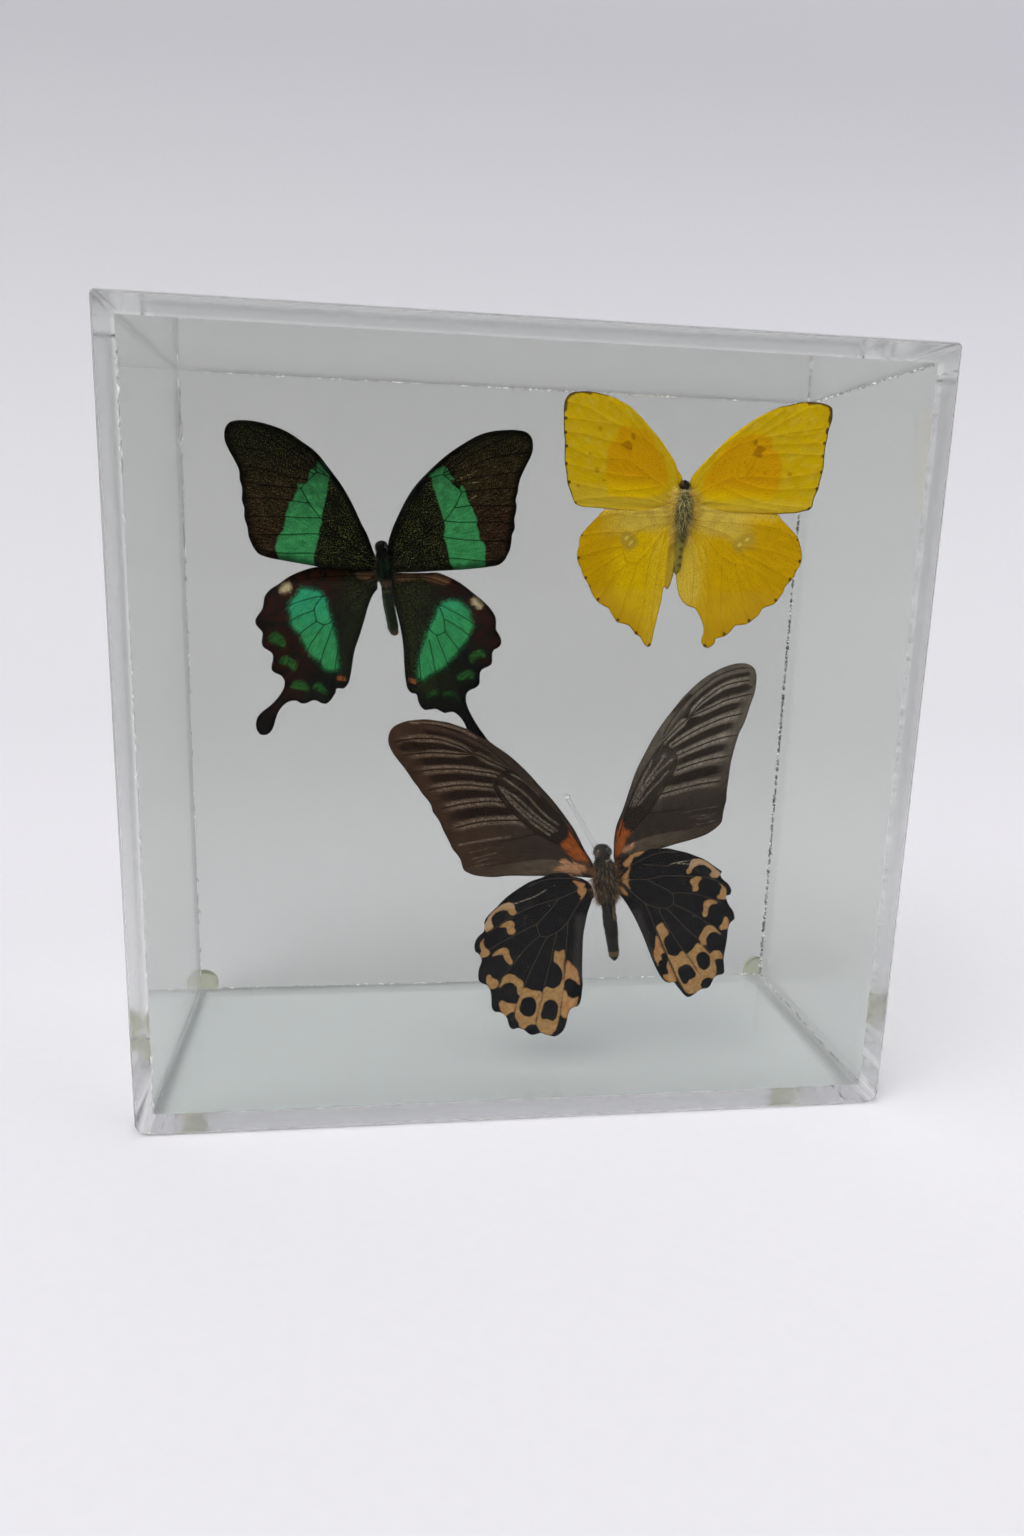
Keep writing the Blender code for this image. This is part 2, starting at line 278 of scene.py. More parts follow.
def bandFaces(rings, sides, order=1):
    # four-sided faces between rings of points
    faces = []
    for first in range(0, (rings - 1) * sides, sides):
        for index in range(sides):
            here, following = first + index, first + (index + 1) % sides
            faces.append((here, *(following, following + sides, here + sides)[::order]))
    return faces


def fanFaces(centre, first, sides, order):
    # triangles from a point to the ring that starts at first
    pairs = [(first + index, first + (index + 1) % sides) for index in range(sides)]
    return [(centre, *pair[::order]) for pair in pairs]


def meshObject(name, vertices, faces, material):
    mesh = bpy.data.meshes.new(name)
    mesh.from_pydata([tuple(v) for v in vertices], [], faces)
    mesh.materials.append(material)
    for polygon in mesh.polygons:
        polygon.use_smooth = True
    made = bpy.data.objects.new(name, mesh)
    bpy.context.scene.collection.objects.link(made)
    return made


def keep(mesh, name, values):
    # a number, or a set of three, at each vertex for the material to read
    values = np.asarray(values, np.float32)
    if values.ndim == 1:
        mesh.attributes.new(name, "FLOAT", "POINT").data.foreach_set("value", values)
    else:
        mesh.attributes.new(name, "FLOAT_VECTOR", "POINT").data.foreach_set("vector", values.ravel())


def addPiece(piece, slot, *nodes):
    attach(piece, "root")
    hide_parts(*nodes)


# The room: one pale sheet for floor and backdrop, with painted shade and light on it, and soft light from
# all round

room = {
    "width": 9.0,
    "front": -4.0,
    "back": 1.5,
    "bend": 0.9,              # radius where the floor turns up
    "height": 4.0,
    "floor": (0.595, 0.589, 0.615),
    "wall": (0.545, 0.541, 0.563),
    "corner": (0.580, 0.576, 0.612),          # painted light: the wall's upper right is coloured lighter
    "floorFade": (-0.15, 0.9),                # metres back, from the floor's colour to the wall's: painted shade, darker towards the back
    "cornerLightFade": (0.2, 1.6),
    "grain": 260.0,
    "bendSteps": 24,
    "gap": 0.2,               # mm under the case
    "light": 1.26,
    "lightTop": 1.12,         # share of that light from overhead
    "lightLow": 0.95,         # and from the horizon
    "lightFade": (-0.15, 0.95),               # a fade's start and end; 1 is straight towards the light
    "softBox": (-0.42, -0.38, 0.82),          # towards the one brighter panel, high at the front left
    "softBoxLight": 3.0,
    "softBoxFade": (0.90, 0.97),
    "flag": 0.95,             # how much a dark cloth behind the camera holds back
    "flagTo": (0.15, -1.0, -0.05),
    "flagFade": (0.60, 0.86),
}


def buildRoom():
    paint = Paint("paleBackdrop", Roughness=0.95)
    where = paint.place()
    place = paint.apart(where)
    # painted shade and light: the sheet darkens from floor to wall and is lighter at the upper right
    far = paint.step(place["Y"], *room["floorFade"])
    paintedLightUpRight = paint.step(place["X"] * 0.5 + place["Z"], *room["cornerLightFade"])
    paint.colour = paint.mix(far, room["floor"], room["wall"])
    paint.over(paintedLightUpRight, room["corner"])
    grain = paint.step(paint.noise(room["grain"], 5.0, where=where), 0.3, 0.7)
    paint.give("Base Color", paint.multiply(paint.colour, paint.mix(grain, grey(0.985), grey(1.0))))
    profile = [(room["front"], 0.0), (room["back"] - room["bend"], 0.0)]
    for step in range(1, room["bendSteps"] + 1):
        turn = math.pi / 2 * step / room["bendSteps"]
        y = room["back"] - room["bend"] + room["bend"] * math.sin(turn)
        profile.append((y, room["bend"] * (1 - math.cos(turn))))
    profile.append((room["back"], room["height"]))
    vertices = []
    for y, z in profile:
        vertices += [(-room["width"] / 2, y, z), (room["width"] / 2, y, z)]
    faces = [(2 * i, 2 * i + 1, 2 * i + 3, 2 * i + 2) for i in range(len(profile) - 1)]
    sheet = meshObject("backdrop", vertices, faces, paint.material)
    sheet.location.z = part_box("bottom_panel")[0].z - room["gap"] * mm


class Sky(Paint):
    # the same steps for the light from all round
    def __init__(self, world):
        self.tree = world.node_tree
        self.shader = self.tree.nodes["Background"]
        self.where = self.node("TexCoord", {}, "Generated")

    def towards(self, direction):
        heading = {0: self.where, 1: Vector(direction).normalized()}
        return self.node("VectorMath", heading, "Value", operation="DOT_PRODUCT")


def lightRoom():
    world = bpy.data.worlds.new("softStudio")
    world.use_nodes = True
    bpy.context.scene.world = world
    sky = Sky(world)
    upward = sky.step(sky.towards((0, 0, 1)), *room["lightFade"], room["lightLow"], room["lightTop"])
    cloth = sky.step(sky.towards(room["flagTo"]), *room["flagFade"], 1.0, 1.0 - room["flag"])
    panel = sky.step(sky.towards(room["softBox"]), *room["softBoxFade"], 0.0, room["softBoxLight"])
    sky.give("Strength", (upward * cloth + panel) * room["light"])
    sky.give("Color", (1.0, 0.995, 1.0))


# The camera, where the photograph was taken from

cameraPlace = {
    "location": (-41.17, -301.79, 151.44),     # mm
    "rotation": (77.36, -1.77, -7.98),         # degrees
    "lens": 24.81,
    "sensor": 36.0,
    "shift": (-0.0071, 0.0105),
}


def placeCamera():
    camera = bpy.data.cameras.new("camera")
    camera.lens = cameraPlace["lens"]
    camera.sensor_width = cameraPlace["sensor"]
    camera.sensor_fit = "AUTO"
    camera.shift_x, camera.shift_y = cameraPlace["shift"]
    camera.clip_start = 0.01
    camera.clip_end = 50.0
    holder = bpy.data.objects.new("camera", camera)
    holder.location = Vector(cameraPlace["location"]) * mm
    holder.rotation_euler = [math.radians(angle) for angle in cameraPlace["rotation"]]
    bpy.context.scene.collection.objects.link(holder)
    bpy.context.scene.camera = holder


lightPaths = {                # enough bounces for light through the case and back
    "max_bounces": 28,
    "transmission_bounces": 28,
    "transparent_max_bounces": 16,
    "diffuse_bounces": 6,
    "glossy_bounces": 12,
    "caustics_reflective": True,
    "caustics_refractive": True,
    "blur_glossy": 0.0,
    "sample_clamp_indirect": 6.0,
}


def setLook():
    scene = bpy.context.scene
    scene.view_settings.view_transform = "Standard"
    scene.view_settings.look = "None"
    for setting, value in lightPaths.items():
        setattr(scene.cycles, setting, value)


# The case: one clear shell, because its six sheets are glued into one, with beads of glue along its seams

case = {
    "wall": 4.5,
    "topRound": 1.2,          # corner radii, seen from the front
    "bottomRound": 3.5,
    "rimRound": 0.6,          # polished rim of the front and back sheets
    "cornerSteps": 8,
    "rimSteps": 3,
    # tints at the foot and higher up: partly the acrylic's own tint, partly painted light, as the lower
    # half of the case is tinted clearer so that it reads brighter
    "front": ((0.79, 0.805, 0.785), (0.725, 0.735, 0.712)),
    "back": ((0.86, 0.87, 0.86), (0.775, 0.785, 0.765)),
    "sides": ((0.94, 0.955, 0.94), (0.90, 0.92, 0.895)),
    # painted shade: the rim is tinted much darker than the sheets, and darker still higher up
    "rim": ((0.80, 0.81, 0.805), (0.46, 0.47, 0.455)),
    "under": ((0.97, 0.99, 0.98), (0.97, 0.99, 0.98)),
    "border": ((0.84, 0.855, 0.84), (0.56, 0.575, 0.55)),       # the front face over the walls' ends: partly the acrylic's own grey-green along its edges, partly painted shade, darker higher up
    "paintedShade": (0.86, 0.865, 0.86),   # painted shade: the strip along the right wall's foot is greyed, standing in for the shadow and refraction of the wall's end
    "paintedShadeStrip": (0.1, 4.9),       # mm from the wall
    "tintHeights": (10, 110),
    "endsFade": (0.1, 0.3),        # mm before and past the walls' inner faces
    "edgeRoughness": 0.14,         # over the walls' ends
    "sideRoughness": 0.03,
    "haze": 0.03,
    "bending": 1.49,               # index of refraction
    "reflection": 0.08,            # share of a bare sheet's mirror image, seen face on
}
shellFinishes = ["front", "sides", "under", "rim", "glue", "back"]      # the shell's materials in order
lowCorner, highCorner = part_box("front_panel")
caseWidth = (highCorner.x - lowCorner.x) / mm
caseHeight = (highCorner.z - lowCorner.z) / mm
caseDepth = -2 * lowCorner.y / mm
innerX = caseWidth / 2 - case["wall"]
innerY = caseDepth / 2 - case["wall"]
innerTop = caseHeight - case["wall"]

# Each glue line: its ends, the way into the case, then its beads of dried glue: how many, their length,
# their radius, and how pale the dullest and the brightest are
glueLines = {
    "rearRight": ((innerX, innerY, 5), (innerX, innerY, 198), (-1, -1, 0),
        460, (0.5, 1.7), (0.22, 0.56), (0.06, 0.9)),
    "rearLeft": ((-innerX, innerY, 8), (-innerX, innerY, 140), (1, -1, 0),
        60, (0.6, 3.0), (0.06, 0.14), (0.6, 1.0)),
    "rearLeftTop": ((-innerX, innerY, 142), (-innerX, innerY, 197), (1, -1, 0),
        44, (2.5, 6.0), (0.14, 0.22), (0.75, 1.0)),
    "rearTop": ((-96, innerY, innerTop), (96, innerY, innerTop), (0, -1, -1),
        150, (0.8, 3.4), (0.04, 0.11), (0.72, 1.0)),
    "rearTopBright": ((-6, innerY, innerTop), (52, innerY, innerTop), (0, -1, -1),
        64, (0.5, 1.1), (0.12, 0.24), (0.9, 1.0)),
    "rearBottom": ((-96, innerY, 4.5), (96, innerY, 4.5), (0, -1, 1),
        190, (0.4, 1.8), (0.07, 0.18), (0.4, 1.0)),
    "frontLeft": ((-innerX, -innerY, 165), (-innerX, -innerY, 193), (1, 1, 0),
        34, (0.6, 2.6), (0.10, 0.26), (0.85, 1.0)),
    "frontLeftLow": ((-innerX, -innerY, 6), (-innerX, -innerY, 160), (1, 1, 0),
        70, (0.8, 4.0), (0.03, 0.07), (0.6, 1.0)),
    "topRight": ((innerX, -39, innerTop), (innerX, 39, innerTop), (-1, 0, -1),
        70, (0.8, 2.6), (0.14, 0.30), (0.55, 1.0)),
    "topLeft": ((-innerX, -39, innerTop), (-innerX, 39, innerTop), (1, 0, -1),
        26, (0.8, 3.0), (0.04, 0.08), (0.3, 0.7)),
    "bottomRight": ((innerX, -39, 4.5), (innerX, 39, 4.5), (-1, 0, 1),
        60, (0.8, 2.6), (0.10, 0.20), (0.1, 0.6)),
    "bottomLeft": ((-innerX, -39, 4.5), (-innerX, 39, 4.5), (1, 0, 1),
        40, (0.6, 2.0), (0.05, 0.12), (0.3, 0.8)),
}
glueShades = (0.0, 0.15, 0.45, 1.0)


def roundedOutline(inset):
    # the front's outline, inset evenly all round, as (x, z) points
    points = []
    for sideX, top, start in ((1, False, -90), (1, True, 0), (-1, True, 90), (-1, False, 180)):
        corner = case["topRound"] if top else case["bottomRound"]
        middleX = sideX * (caseWidth / 2 - corner)
        middleZ = caseHeight - corner if top else corner
        radius = corner - inset
        for step in range(case["cornerSteps"] + 1):
            turn = math.radians(start + 90 * step / case["cornerSteps"])
            points.append((middleX + radius * math.cos(turn), middleZ + radius * math.sin(turn)))
    return points


def roundBead():
    # a ball of radius 1: an eight-sided solid, split once
    corners = [Vector(c) for c in ((1, 0, 0), (-1, 0, 0), (0, 1, 0), (0, -1, 0), (0, 0, 1), (0, 0, -1))]
    faces = []
    vertices = []
    for x in (0, 1):
        for y in (2, 3):
            for z in (4, 5):
                a, b, c = corners[x], corners[y], corners[z]
                middle = [((p + q) / 2).normalized() for p, q in ((a, b), (b, c), (c, a))]
                for triangle in ((a, middle[0], middle[2]), (middle[0], b, middle[1]),
                                 (middle[2], middle[1], c), tuple(middle)):
                    faces.append([addOnce(vertices, corner) for corner in triangle])
    return vertices, faces


def addOnce(vertices, place):
    for index, other in enumerate(vertices):
        if (other - place).length < 1e-6:
            return index
    vertices.append(place)
    return len(vertices) - 1


def addBead(work, ball, middle, along, over, thin):
    vertices, faces = ball
    made = [work.verts.new((middle + along * v.x + over * v.y + thin * v.z) * mm) for v in vertices]
    centre = middle * mm
    for face in faces:
        skin = work.faces.new([made[index] for index in face])
        skin.normal_update()
        if skin.normal.dot(skin.calc_center_median() - centre) < 0:
            skin.normal_flip()
        skin.smooth = True
        skin.material_index = shellFinishes.index("glue")
    return made


def fillGlueLine(work, ball, line, pale):
    start, end, inward, beads, length, radius, (dullest, palest) = line
    start = Vector(start)
    run = Vector(end) - start
    inward = Vector(inward).normalized()
    along = run.normalized()
    other = along.cross(inward)
    for _ in range(beads):
        size = chance.uniform(*radius)
        half = chance.uniform(*length) / 2
        middle = start + run * chance.random() + inward * size * 0.5 + other * chance.gauss(0.0, 0.16)
        tilt = other * chance.gauss(0.0, 0.25)
        shade = dullest + (palest - dullest) * chance.choice(glueShades)
        for vertex in addBead(work, ball, middle, (along + tilt) * half, inward * size, other * size):
            vertex[pale] = shade


def buildCase():
    work = bmesh.new()
    rings = []
    for step in range(case["rimSteps"] + 1):
        turn = math.pi / 2 * step / case["rimSteps"]
        inset = case["rimRound"] * (1 - math.sin(turn))
        y = caseDepth / 2 - case["rimRound"] * (1 - math.cos(turn))
        rings.append((-y, inset))
    rings += [(-y, inset) for y, inset in reversed(rings)]
    loops = []
    for y, inset in rings:
        loops.append([work.verts.new((x * mm, y * mm, z * mm)) for x, z in roundedOutline(inset)])
    count = len(loops[0])
    perCorner = case["cornerSteps"] + 1
    for number, (near, far) in enumerate(zip(loops, loops[1:])):
        onRim = number != case["rimSteps"]
        for index in range(count):
            following = (index + 1) % count
            face = work.faces.new((near[index], near[following], far[following], far[index]))
            face.smooth = onRim or index % perCorner != perCorner - 1
    work.faces.new(list(reversed(loops[0])))
    work.faces.new(loops[-1])
    bmesh.ops.recalc_face_normals(work, faces=work.faces)
    hollow = bmesh.ops.create_cube(work, size=1.0)["verts"]
    for vertex in hollow:
        vertex.co.x *= 2 * innerX * mm
        vertex.co.y *= 2 * innerY * mm
        vertex.co.z = (vertex.co.z + 0.5) * (innerTop - case["wall"]) * mm + case["wall"] * mm
    for face in {face for vertex in hollow for face in vertex.link_faces}:
        face.normal_flip()
    for face in work.faces:
        face.material_index = shellFinishes.index(sheetFinish(face))
    ball = roundBead()
    pale = work.verts.layers.float.new("pale")
    for line in glueLines.values():
        fillGlueLine(work, ball, line, pale)
    mesh = bpy.data.meshes.new("acrylic_case")
    work.to_mesh(mesh)
    work.free()
    mesh.materials.append(clearAcrylic("clearAcrylicFront", "front", 0.0))
    mesh.materials.append(clearAcrylic("clearAcrylicSides", "sides", 0.04))
    mesh.materials.append(clearAcrylic("clearAcrylicUnder", "under", 0.05))
    mesh.materials.append(clearAcrylic("satinRim", "rim", 0.24))
    mesh.materials.append(driedGlue())
    mesh.materials.append(clearAcrylic("clearAcrylicBack", "back", 0.04))
    shell = bpy.data.objects.new("acrylic_case", mesh)
    bpy.context.scene.collection.objects.link(shell)
    sheets = ("front_panel", "back_panel", "top_panel", "bottom_panel", "left_panel", "right_panel")
    addPiece(shell, "acrylic", *sheets)


def sheetFinish(face):
    # the rim is the rounded edge of the front and the back sheet; "sides" takes in the top
    middle = face.calc_center_median() / mm
    normal = face.normal
    if face.calc_area() < 1e-6:
        return "front"
    if 0.05 < abs(normal.y) < 0.99:
        return "rim"
    if abs(normal.y) > 0.9:
        return "front" if middle.y < 0 else "back"
    if middle.z < case["wall"] + 0.5 and abs(normal.z) > 0.9:
        return "under"
    return "sides"


def clearAcrylic(name, part, roughness):
    paint = Paint(name, IOR=rods["bending"] if part == "rod" else case["bending"],
                  Transmission_Weight=1.0, Specular_Tint=grey(case["reflection"]))
    where = paint.place()
    place = paint.apart(where)
    low, high = case["tintHeights"]
    tints = rods["tints"] if part == "rod" else case[part]
    # painted light: the tint is clearer at the foot and darker higher up
    tint = paint.mix(paint.step(place["Z"], low * mm, high * mm), *tints)
    # painted shade: a grey strip along the right wall's foot
    if part == "under":
        near, far = case["paintedShadeStrip"]
        strip = paint.step(place["X"], (innerX - far) * mm, (innerX - far + 0.3) * mm)
        strip = strip * paint.step(place["X"], (innerX - near) * mm, (innerX - near - 0.3) * mm)
        tint = paint.mix(strip, tint, case["paintedShade"])
    # 1 over the ends of the walls, the top and the bottom sheet
    before, past = case["endsFade"]
    sideways = paint.reckon("ABSOLUTE", place["X"])
    ends = paint.most(paint.step(sideways, (innerX - before) * mm, (innerX + past) * mm),
                      paint.step(place["Z"], (innerTop - before) * mm, (innerTop + past) * mm))
    foot = paint.step(place["Z"], (case["wall"] + before) * mm, (case["wall"] - past) * mm)
    ends = paint.most(ends, foot)
    # painted shade over the walls' ends, darker higher up
    if part == "front":
        border = paint.mix(paint.step(place["Z"], low * mm, high * mm), *case["border"])
        tint = paint.mix(ends, tint, border)
    paint.give("Base Color", tint)
    clouds = paint.step(paint.noise(90.0, 4.0, where=where), 0.62, 0.85)
    haze = clouds * (0.0 if part == "under" else case["haze"])
    rougher = case["sideRoughness" if part in ("sides", "under") else "edgeRoughness"]
    paint.give("Roughness", haze + roughness + ends * rougher)
    return paint.material


dryGlue = {"dull": (0.15, 0.155, 0.155), "bright": grey(0.94), "glintGlow": 0.42, "roughness": 0.16}


def driedGlue():
    paint = Paint("driedGlue", Roughness=dryGlue["roughness"], IOR=1.47)
    grain = paint.step(paint.noise(2500.0, 3.0, where=paint.place()), 0.3, 0.7)
    pale = paint.read("pale")
    colour = paint.mix(pale, dryGlue["dull"], dryGlue["bright"])
    paint.give("Base Color", paint.mix(grain, paint.multiply(colour, grey(0.7)), colour))
    # painted glints: the palest beads glow a little, though they are no lamp
    paint.give("Emission Color", colour)
    paint.give("Emission Strength", paint.step(pale, 0.85, 1.0) * dryGlue["glintGlow"])
    paint.bump(grain, 0.00005, 0.5)
    return paint.material


# The rods and the two soft feet on the back

rods = {
    "radius": 0.8,
    "sides": 24,
    "start": 1.45,            # mm behind the body's axis
    "glueSpread": 1.05,       # radius of the glue where a rod meets the back sheet
    "glueHeight": 0.6,
    "bending": 1.28,          # index of refraction: thin rods hardly show
    "tints": ((0.96, 0.97, 0.96), (0.96, 0.97, 0.96)),
    "tip": [(0.0, 0.55, 0.0), (0.12, 0.76, 0.0), (0.3, 0.8, 0.0)],      # along, radius, wobble
}
feet = {
    "colour": (0.86, 0.86, 0.74),
    "radius": 4.6,
    "height": 3.0,
    "edge": 0.35,             # share of the height that rises straight
    "sides": 48,
    "steps": 10,
}


def ringSolid(name, rings, material):
    # a closed round solid through rings of points, the first and last closed by a fan
    count = len(rings[0])
    vertices = [point for ring in rings for point in ring]
    faces = bandFaces(len(rings), count)
    for level, order in ((0, -1), (len(rings) - 1, 1)):
        faces += fanFaces(len(vertices), level * count, count, order)
        vertices.append(sum((Vector(point) for point in rings[level]), Vector()) / count)
    piece = meshObject(name, vertices, faces, material)
    work = bmesh.new()
    work.from_mesh(piece.data)
    bmesh.ops.recalc_face_normals(work, faces=work.faces)
    work.to_mesh(piece.data)
    work.free()
    return piece


def circleAt(middle, axis, radius, sides, wobble=0.0):
    side = axis.orthogonal().normalized()
    other = axis.cross(side).normalized()
    ring = []
    for index in range(sides):
        turn = 2 * math.pi * index / sides
        size = radius * (1 + wobble * math.sin(3 * turn + 0.7) + wobble * 0.6 * math.sin(5 * turn))
        ring.append(middle + side * size * math.cos(turn) + other * size * math.sin(turn))
    return ring


def buildRod(name, butterfly, material):
    axes = standFrame(butterfly)
    start = axes @ Vector((butterfly["rodFrom"][0] * mm, 0.0, butterfly["rodFrom"][1] * mm))
    foot = axes @ Vector((butterfly["rodFoot"][0] * mm, 0.0, butterfly["rodFoot"][1] * mm))
    start.y += rods["start"] * mm
    foot.y = (innerY - 0.05) * mm
    axis = (foot - start).normalized()
    length = (foot - start).length / mm
    sizes = rods["tip"] + [(length * share, rods["radius"], 0.0) for share in (0.25, 0.5, 0.75)]
    spread = rods["glueSpread"] - rods["radius"]
    for share in (1.0, 0.7, 0.45, 0.25, 0.1, 0.0):
        swell = rods["radius"] + spread * (1 - share) ** 3
        sizes.append((length - rods["glueHeight"] * share, swell, 0.10 * (1 - share)))
    rings = [circleAt(start + axis * at * mm, axis, radius * mm, rods["sides"], wobble)
             for at, radius, wobble in sizes]
    rod = ringSolid(name + "_clear_rod", rings, material)
    addPiece(rod, "acrylic", name + "_rod")


def buildFeet():
    paint = Paint("softClearRubber", IOR=1.5, Transmission_Weight=0.75, Roughness=0.22,
                  Base_Color=feet["colour"], Subsurface_Weight=0.2,
                  Subsurface_Radius=(0.004, 0.004, 0.003))
    paint.bump(paint.noise(900.0, 4.0, where=paint.place()), 0.00006, 0.5)
    for name in ("bumper_left", "bumper_right"):
        low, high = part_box(name)
        middle = (low + high) / 2
        middle.y = low.y
        axis = Vector((0, 1, 0))
        rings = [circleAt(middle, axis, feet["radius"] * 0.97 * mm, feet["sides"])]
        rings.append(circleAt(middle + axis * 0.15 * mm, axis, feet["radius"] * mm, feet["sides"]))
        for step in range(feet["steps"]):
            turn = math.pi / 2 * step / feet["steps"]
            rise = feet["height"] * (feet["edge"] + (1 - feet["edge"]) * math.sin(turn))
            rings.append(circleAt(middle + axis * rise * mm, axis, feet["radius"] * math.cos(turn) * mm,
                                  feet["sides"]))
        rings.append(circleAt(middle + axis * feet["height"] * mm, axis, 0.05 * mm, feet["sides"]))
        addPiece(ringSolid(name + "_dome", rings, paint.material), "bumper", name)


# Wings: thin closed sheets with raised veins, built from lines traced in each wing's own plane.
# A point is (mm out from the body's axis, mm up along it), and a margin runs round from the root's rear.

wingSheet = {
    "edgeStep": 0.3,
    "grain": 0.42,            # spacing of the mesh inside
    "edgeRoom": 0.26,         # the mesh keeps this far from the margin
    "veinRoom": 0.2,
    "thickness": 0.12,
    "layer": 0.45,            # front and rear pair lie this far to either side of the body's axis
    "veinHeight": 0.10,
    "veinWidth": 0.24,
    "pleat": 0.07,            # how far the skin sinks between veins
    "pleatReach": 0.9,
    "camber": 0.7,            # bow towards the viewer
    "span": 44.0,             # over this much of the wing
    "flutter": 0.16,          # waves along the margin
    "flutterReach": 2.5,
    "rimFade": 0.5,           # the sheet thins to nothing over this much
    "veinStep": 0.3,
    "veinGap": 0.15,          # points of veins that meet keep this far apart
    "markStep": 0.5,
    "lineStep": 0.6,
    "ruledVeins": 7,          # the black forewing's stripes lie between its first seven veins
    "farAway": 9.0,           # stands for a mark that the wing doesn't have
}


def standFrame(butterfly):
    place = Vector(butterfly["thorax"]) * mm
    return Matrix.Translation(place) @ Matrix.Rotation(math.radians(butterfly["lean"]), 4, "Y")


def standOut(butterfly, side, points):
    # points (out, depth, up) in mm of a wing on that side, to places in the scene
    hand = -1 if side == "left" else 1
    raised = Matrix.Rotation(math.radians(-hand * butterfly["raised"][side]), 4, "Z")
    full = np.array(standFrame(butterfly) @ raised)
    local = np.array(points, float) * mm
    local[:, 0] *= hand
    return local @ full[:3, :3].T + full[:3, 3]


def bow(out):
    # every wing bows the same way, so that pairs never cross
    return wingSheet["camber"] * np.sin(np.pi * np.clip(out / wingSheet["span"], 0.0, 1.0))


def meshPoints(margin, veinLines):
    low, high = margin.min(0), margin.max(0)
    step = wingSheet["grain"]
    rows = np.arange(low[1], high[1], step * math.sqrt(3) / 2)
    columns = np.arange(low[0], high[0], step)
    x, y = np.meshgrid(columns, rows)
    x = x + (np.arange(len(rows)) % 2)[:, None] * step / 2
    grid = np.stack([x.ravel(), y.ravel()], 1)
    grid = grid[depthInside(grid, margin) > wingSheet["edgeRoom"]]
    away = np.min([distanceTo(grid, line) for line in veinLines], 0)
    grid = grid[away > wingSheet["veinRoom"]]
    onVeins = np.vstack(veinLines)
    onVeins = onVeins[depthInside(onVeins, margin) > wingSheet["edgeRoom"]]
    spread = np.unique(np.round(onVeins / wingSheet["veinGap"]), axis=0, return_index=True)[1]
    return np.vstack([margin, onVeins[np.sort(spread)], grid])


def readTrace(text):
    # traced lines as lists of points
    return [[tuple(float(part) for part in point.split(",")) for point in line.split()]
            for line in text.split("/")]


def buildWing(species, pair, side, trace, material, slot):
    butterfly = butterflies[species]
    name = f"{species}_{pair}_{side}"
    traced = {label: readTrace(text) for label, text in trace.items()}
    margin = smoothLine(traced["margin"][0], wingSheet["edgeStep"], closed=True)
    veinLines = [smoothLine(vein, wingSheet["veinStep"]) for vein in traced["veins"]]
    points = meshPoints(margin, veinLines)
    rim = [(i, (i + 1) % len(margin)) for i in range(len(margin))]
    made = delaunay_2d_cdt([Vector(p) for p in points], rim, [], 1, 1e-5)
    flat = np.array([tuple(v) for v in made[0]])
    triangles = np.array(made[2])
    rimAway = depthInside(flat, margin)
    onRim = np.abs(rimAway) < 1e-3
    # a triangle with all its corners on the rim would have no thickness, so it goes
    triangles = triangles[~onRim[triangles].all(1)]
    used = np.unique(triangles)
    triangles = np.searchsorted(used, triangles)
    flat, rimAway, onRim = flat[used], rimAway[used], onRim[used]
    veinAways = np.array([distanceTo(flat, line) for line in veinLines])
    veinAway = veinAways.min(0)

    # height of the skin: raised veins, sunk skin between them, a little flutter at the margin
    ridge = wingSheet["veinHeight"] * np.exp(-(veinAway / wingSheet["veinWidth"])**2)
    sink = wingSheet["pleat"] * (1 - np.exp(-(veinAway / wingSheet["pleatReach"])**2))
    turn = np.arctan2(flat[:, 1], flat[:, 0])
    waves = np.sin(turn * 23.0 + len(name)) + 0.6 * np.sin(turn * 41.0 + 2.0)
    flutter = wingSheet["flutter"] * waves * np.exp(-np.maximum(rimAway, 0) / wingSheet["flutterReach"])
    fade = np.clip(rimAway / wingSheet["rimFade"], 0.0, 1.0)
    layer = -wingSheet["layer"] if pair == butterfly["frontPair"] else wingSheet["layer"]
    middle = layer - bow(flat[:, 0]) + flutter
    half = wingSheet["thickness"] / 2
    front = middle - (half + ridge - sink) * fade
    rear = middle + (half + 0.5 * ridge + sink) * fade

    order = triangles if side == "right" else triangles[:, ::-1]
    inner = np.where(~onRim)[0]
    renumber = np.arange(len(flat))
    renumber[inner] = len(flat) + np.arange(len(inner))
    over = np.stack([flat[:, 0], front, flat[:, 1]], 1)
    under = np.stack([flat[inner, 0], rear[inner], flat[inner, 1]], 1)
    vertices = standOut(butterfly, side, np.vstack([over, under]))
    faces = np.vstack([order, renumber[order][:, ::-1]])
    piece = meshObject(name + "_scaled", vertices, faces.tolist(), material)

    # what the material reads at each point
    both = np.concatenate([np.arange(len(flat)), inner])
    mesh = piece.data
    keep(mesh, "plane", np.stack([flat[both, 0], flat[both, 1], np.zeros(len(both))], 1))
    keep(mesh, "veinAway", veinAway[both])
    keep(mesh, "rimAway", rimAway[both])
    keep(mesh, "under", np.concatenate([np.zeros(len(flat)), np.ones(len(inner))]))
    spacing = np.sort(veinAways[:wingSheet["ruledVeins"] if slot == "black_forewing" else None], 0)
    share = spacing[0] / np.maximum(spacing[0] + spacing[1], 1e-6)
    keep(mesh, "share", share[both])
    for mark in wingMarks[f"{species}_{pair}"]:
        keep(mesh, mark, markDepth(flat, traced.get(mark, []))[both])
    for lines, label in lineMarks.items():
        if lines in traced:
            keep(mesh, label, lineAway(flat, traced[lines])[both])
    addPiece(piece, slot, name)


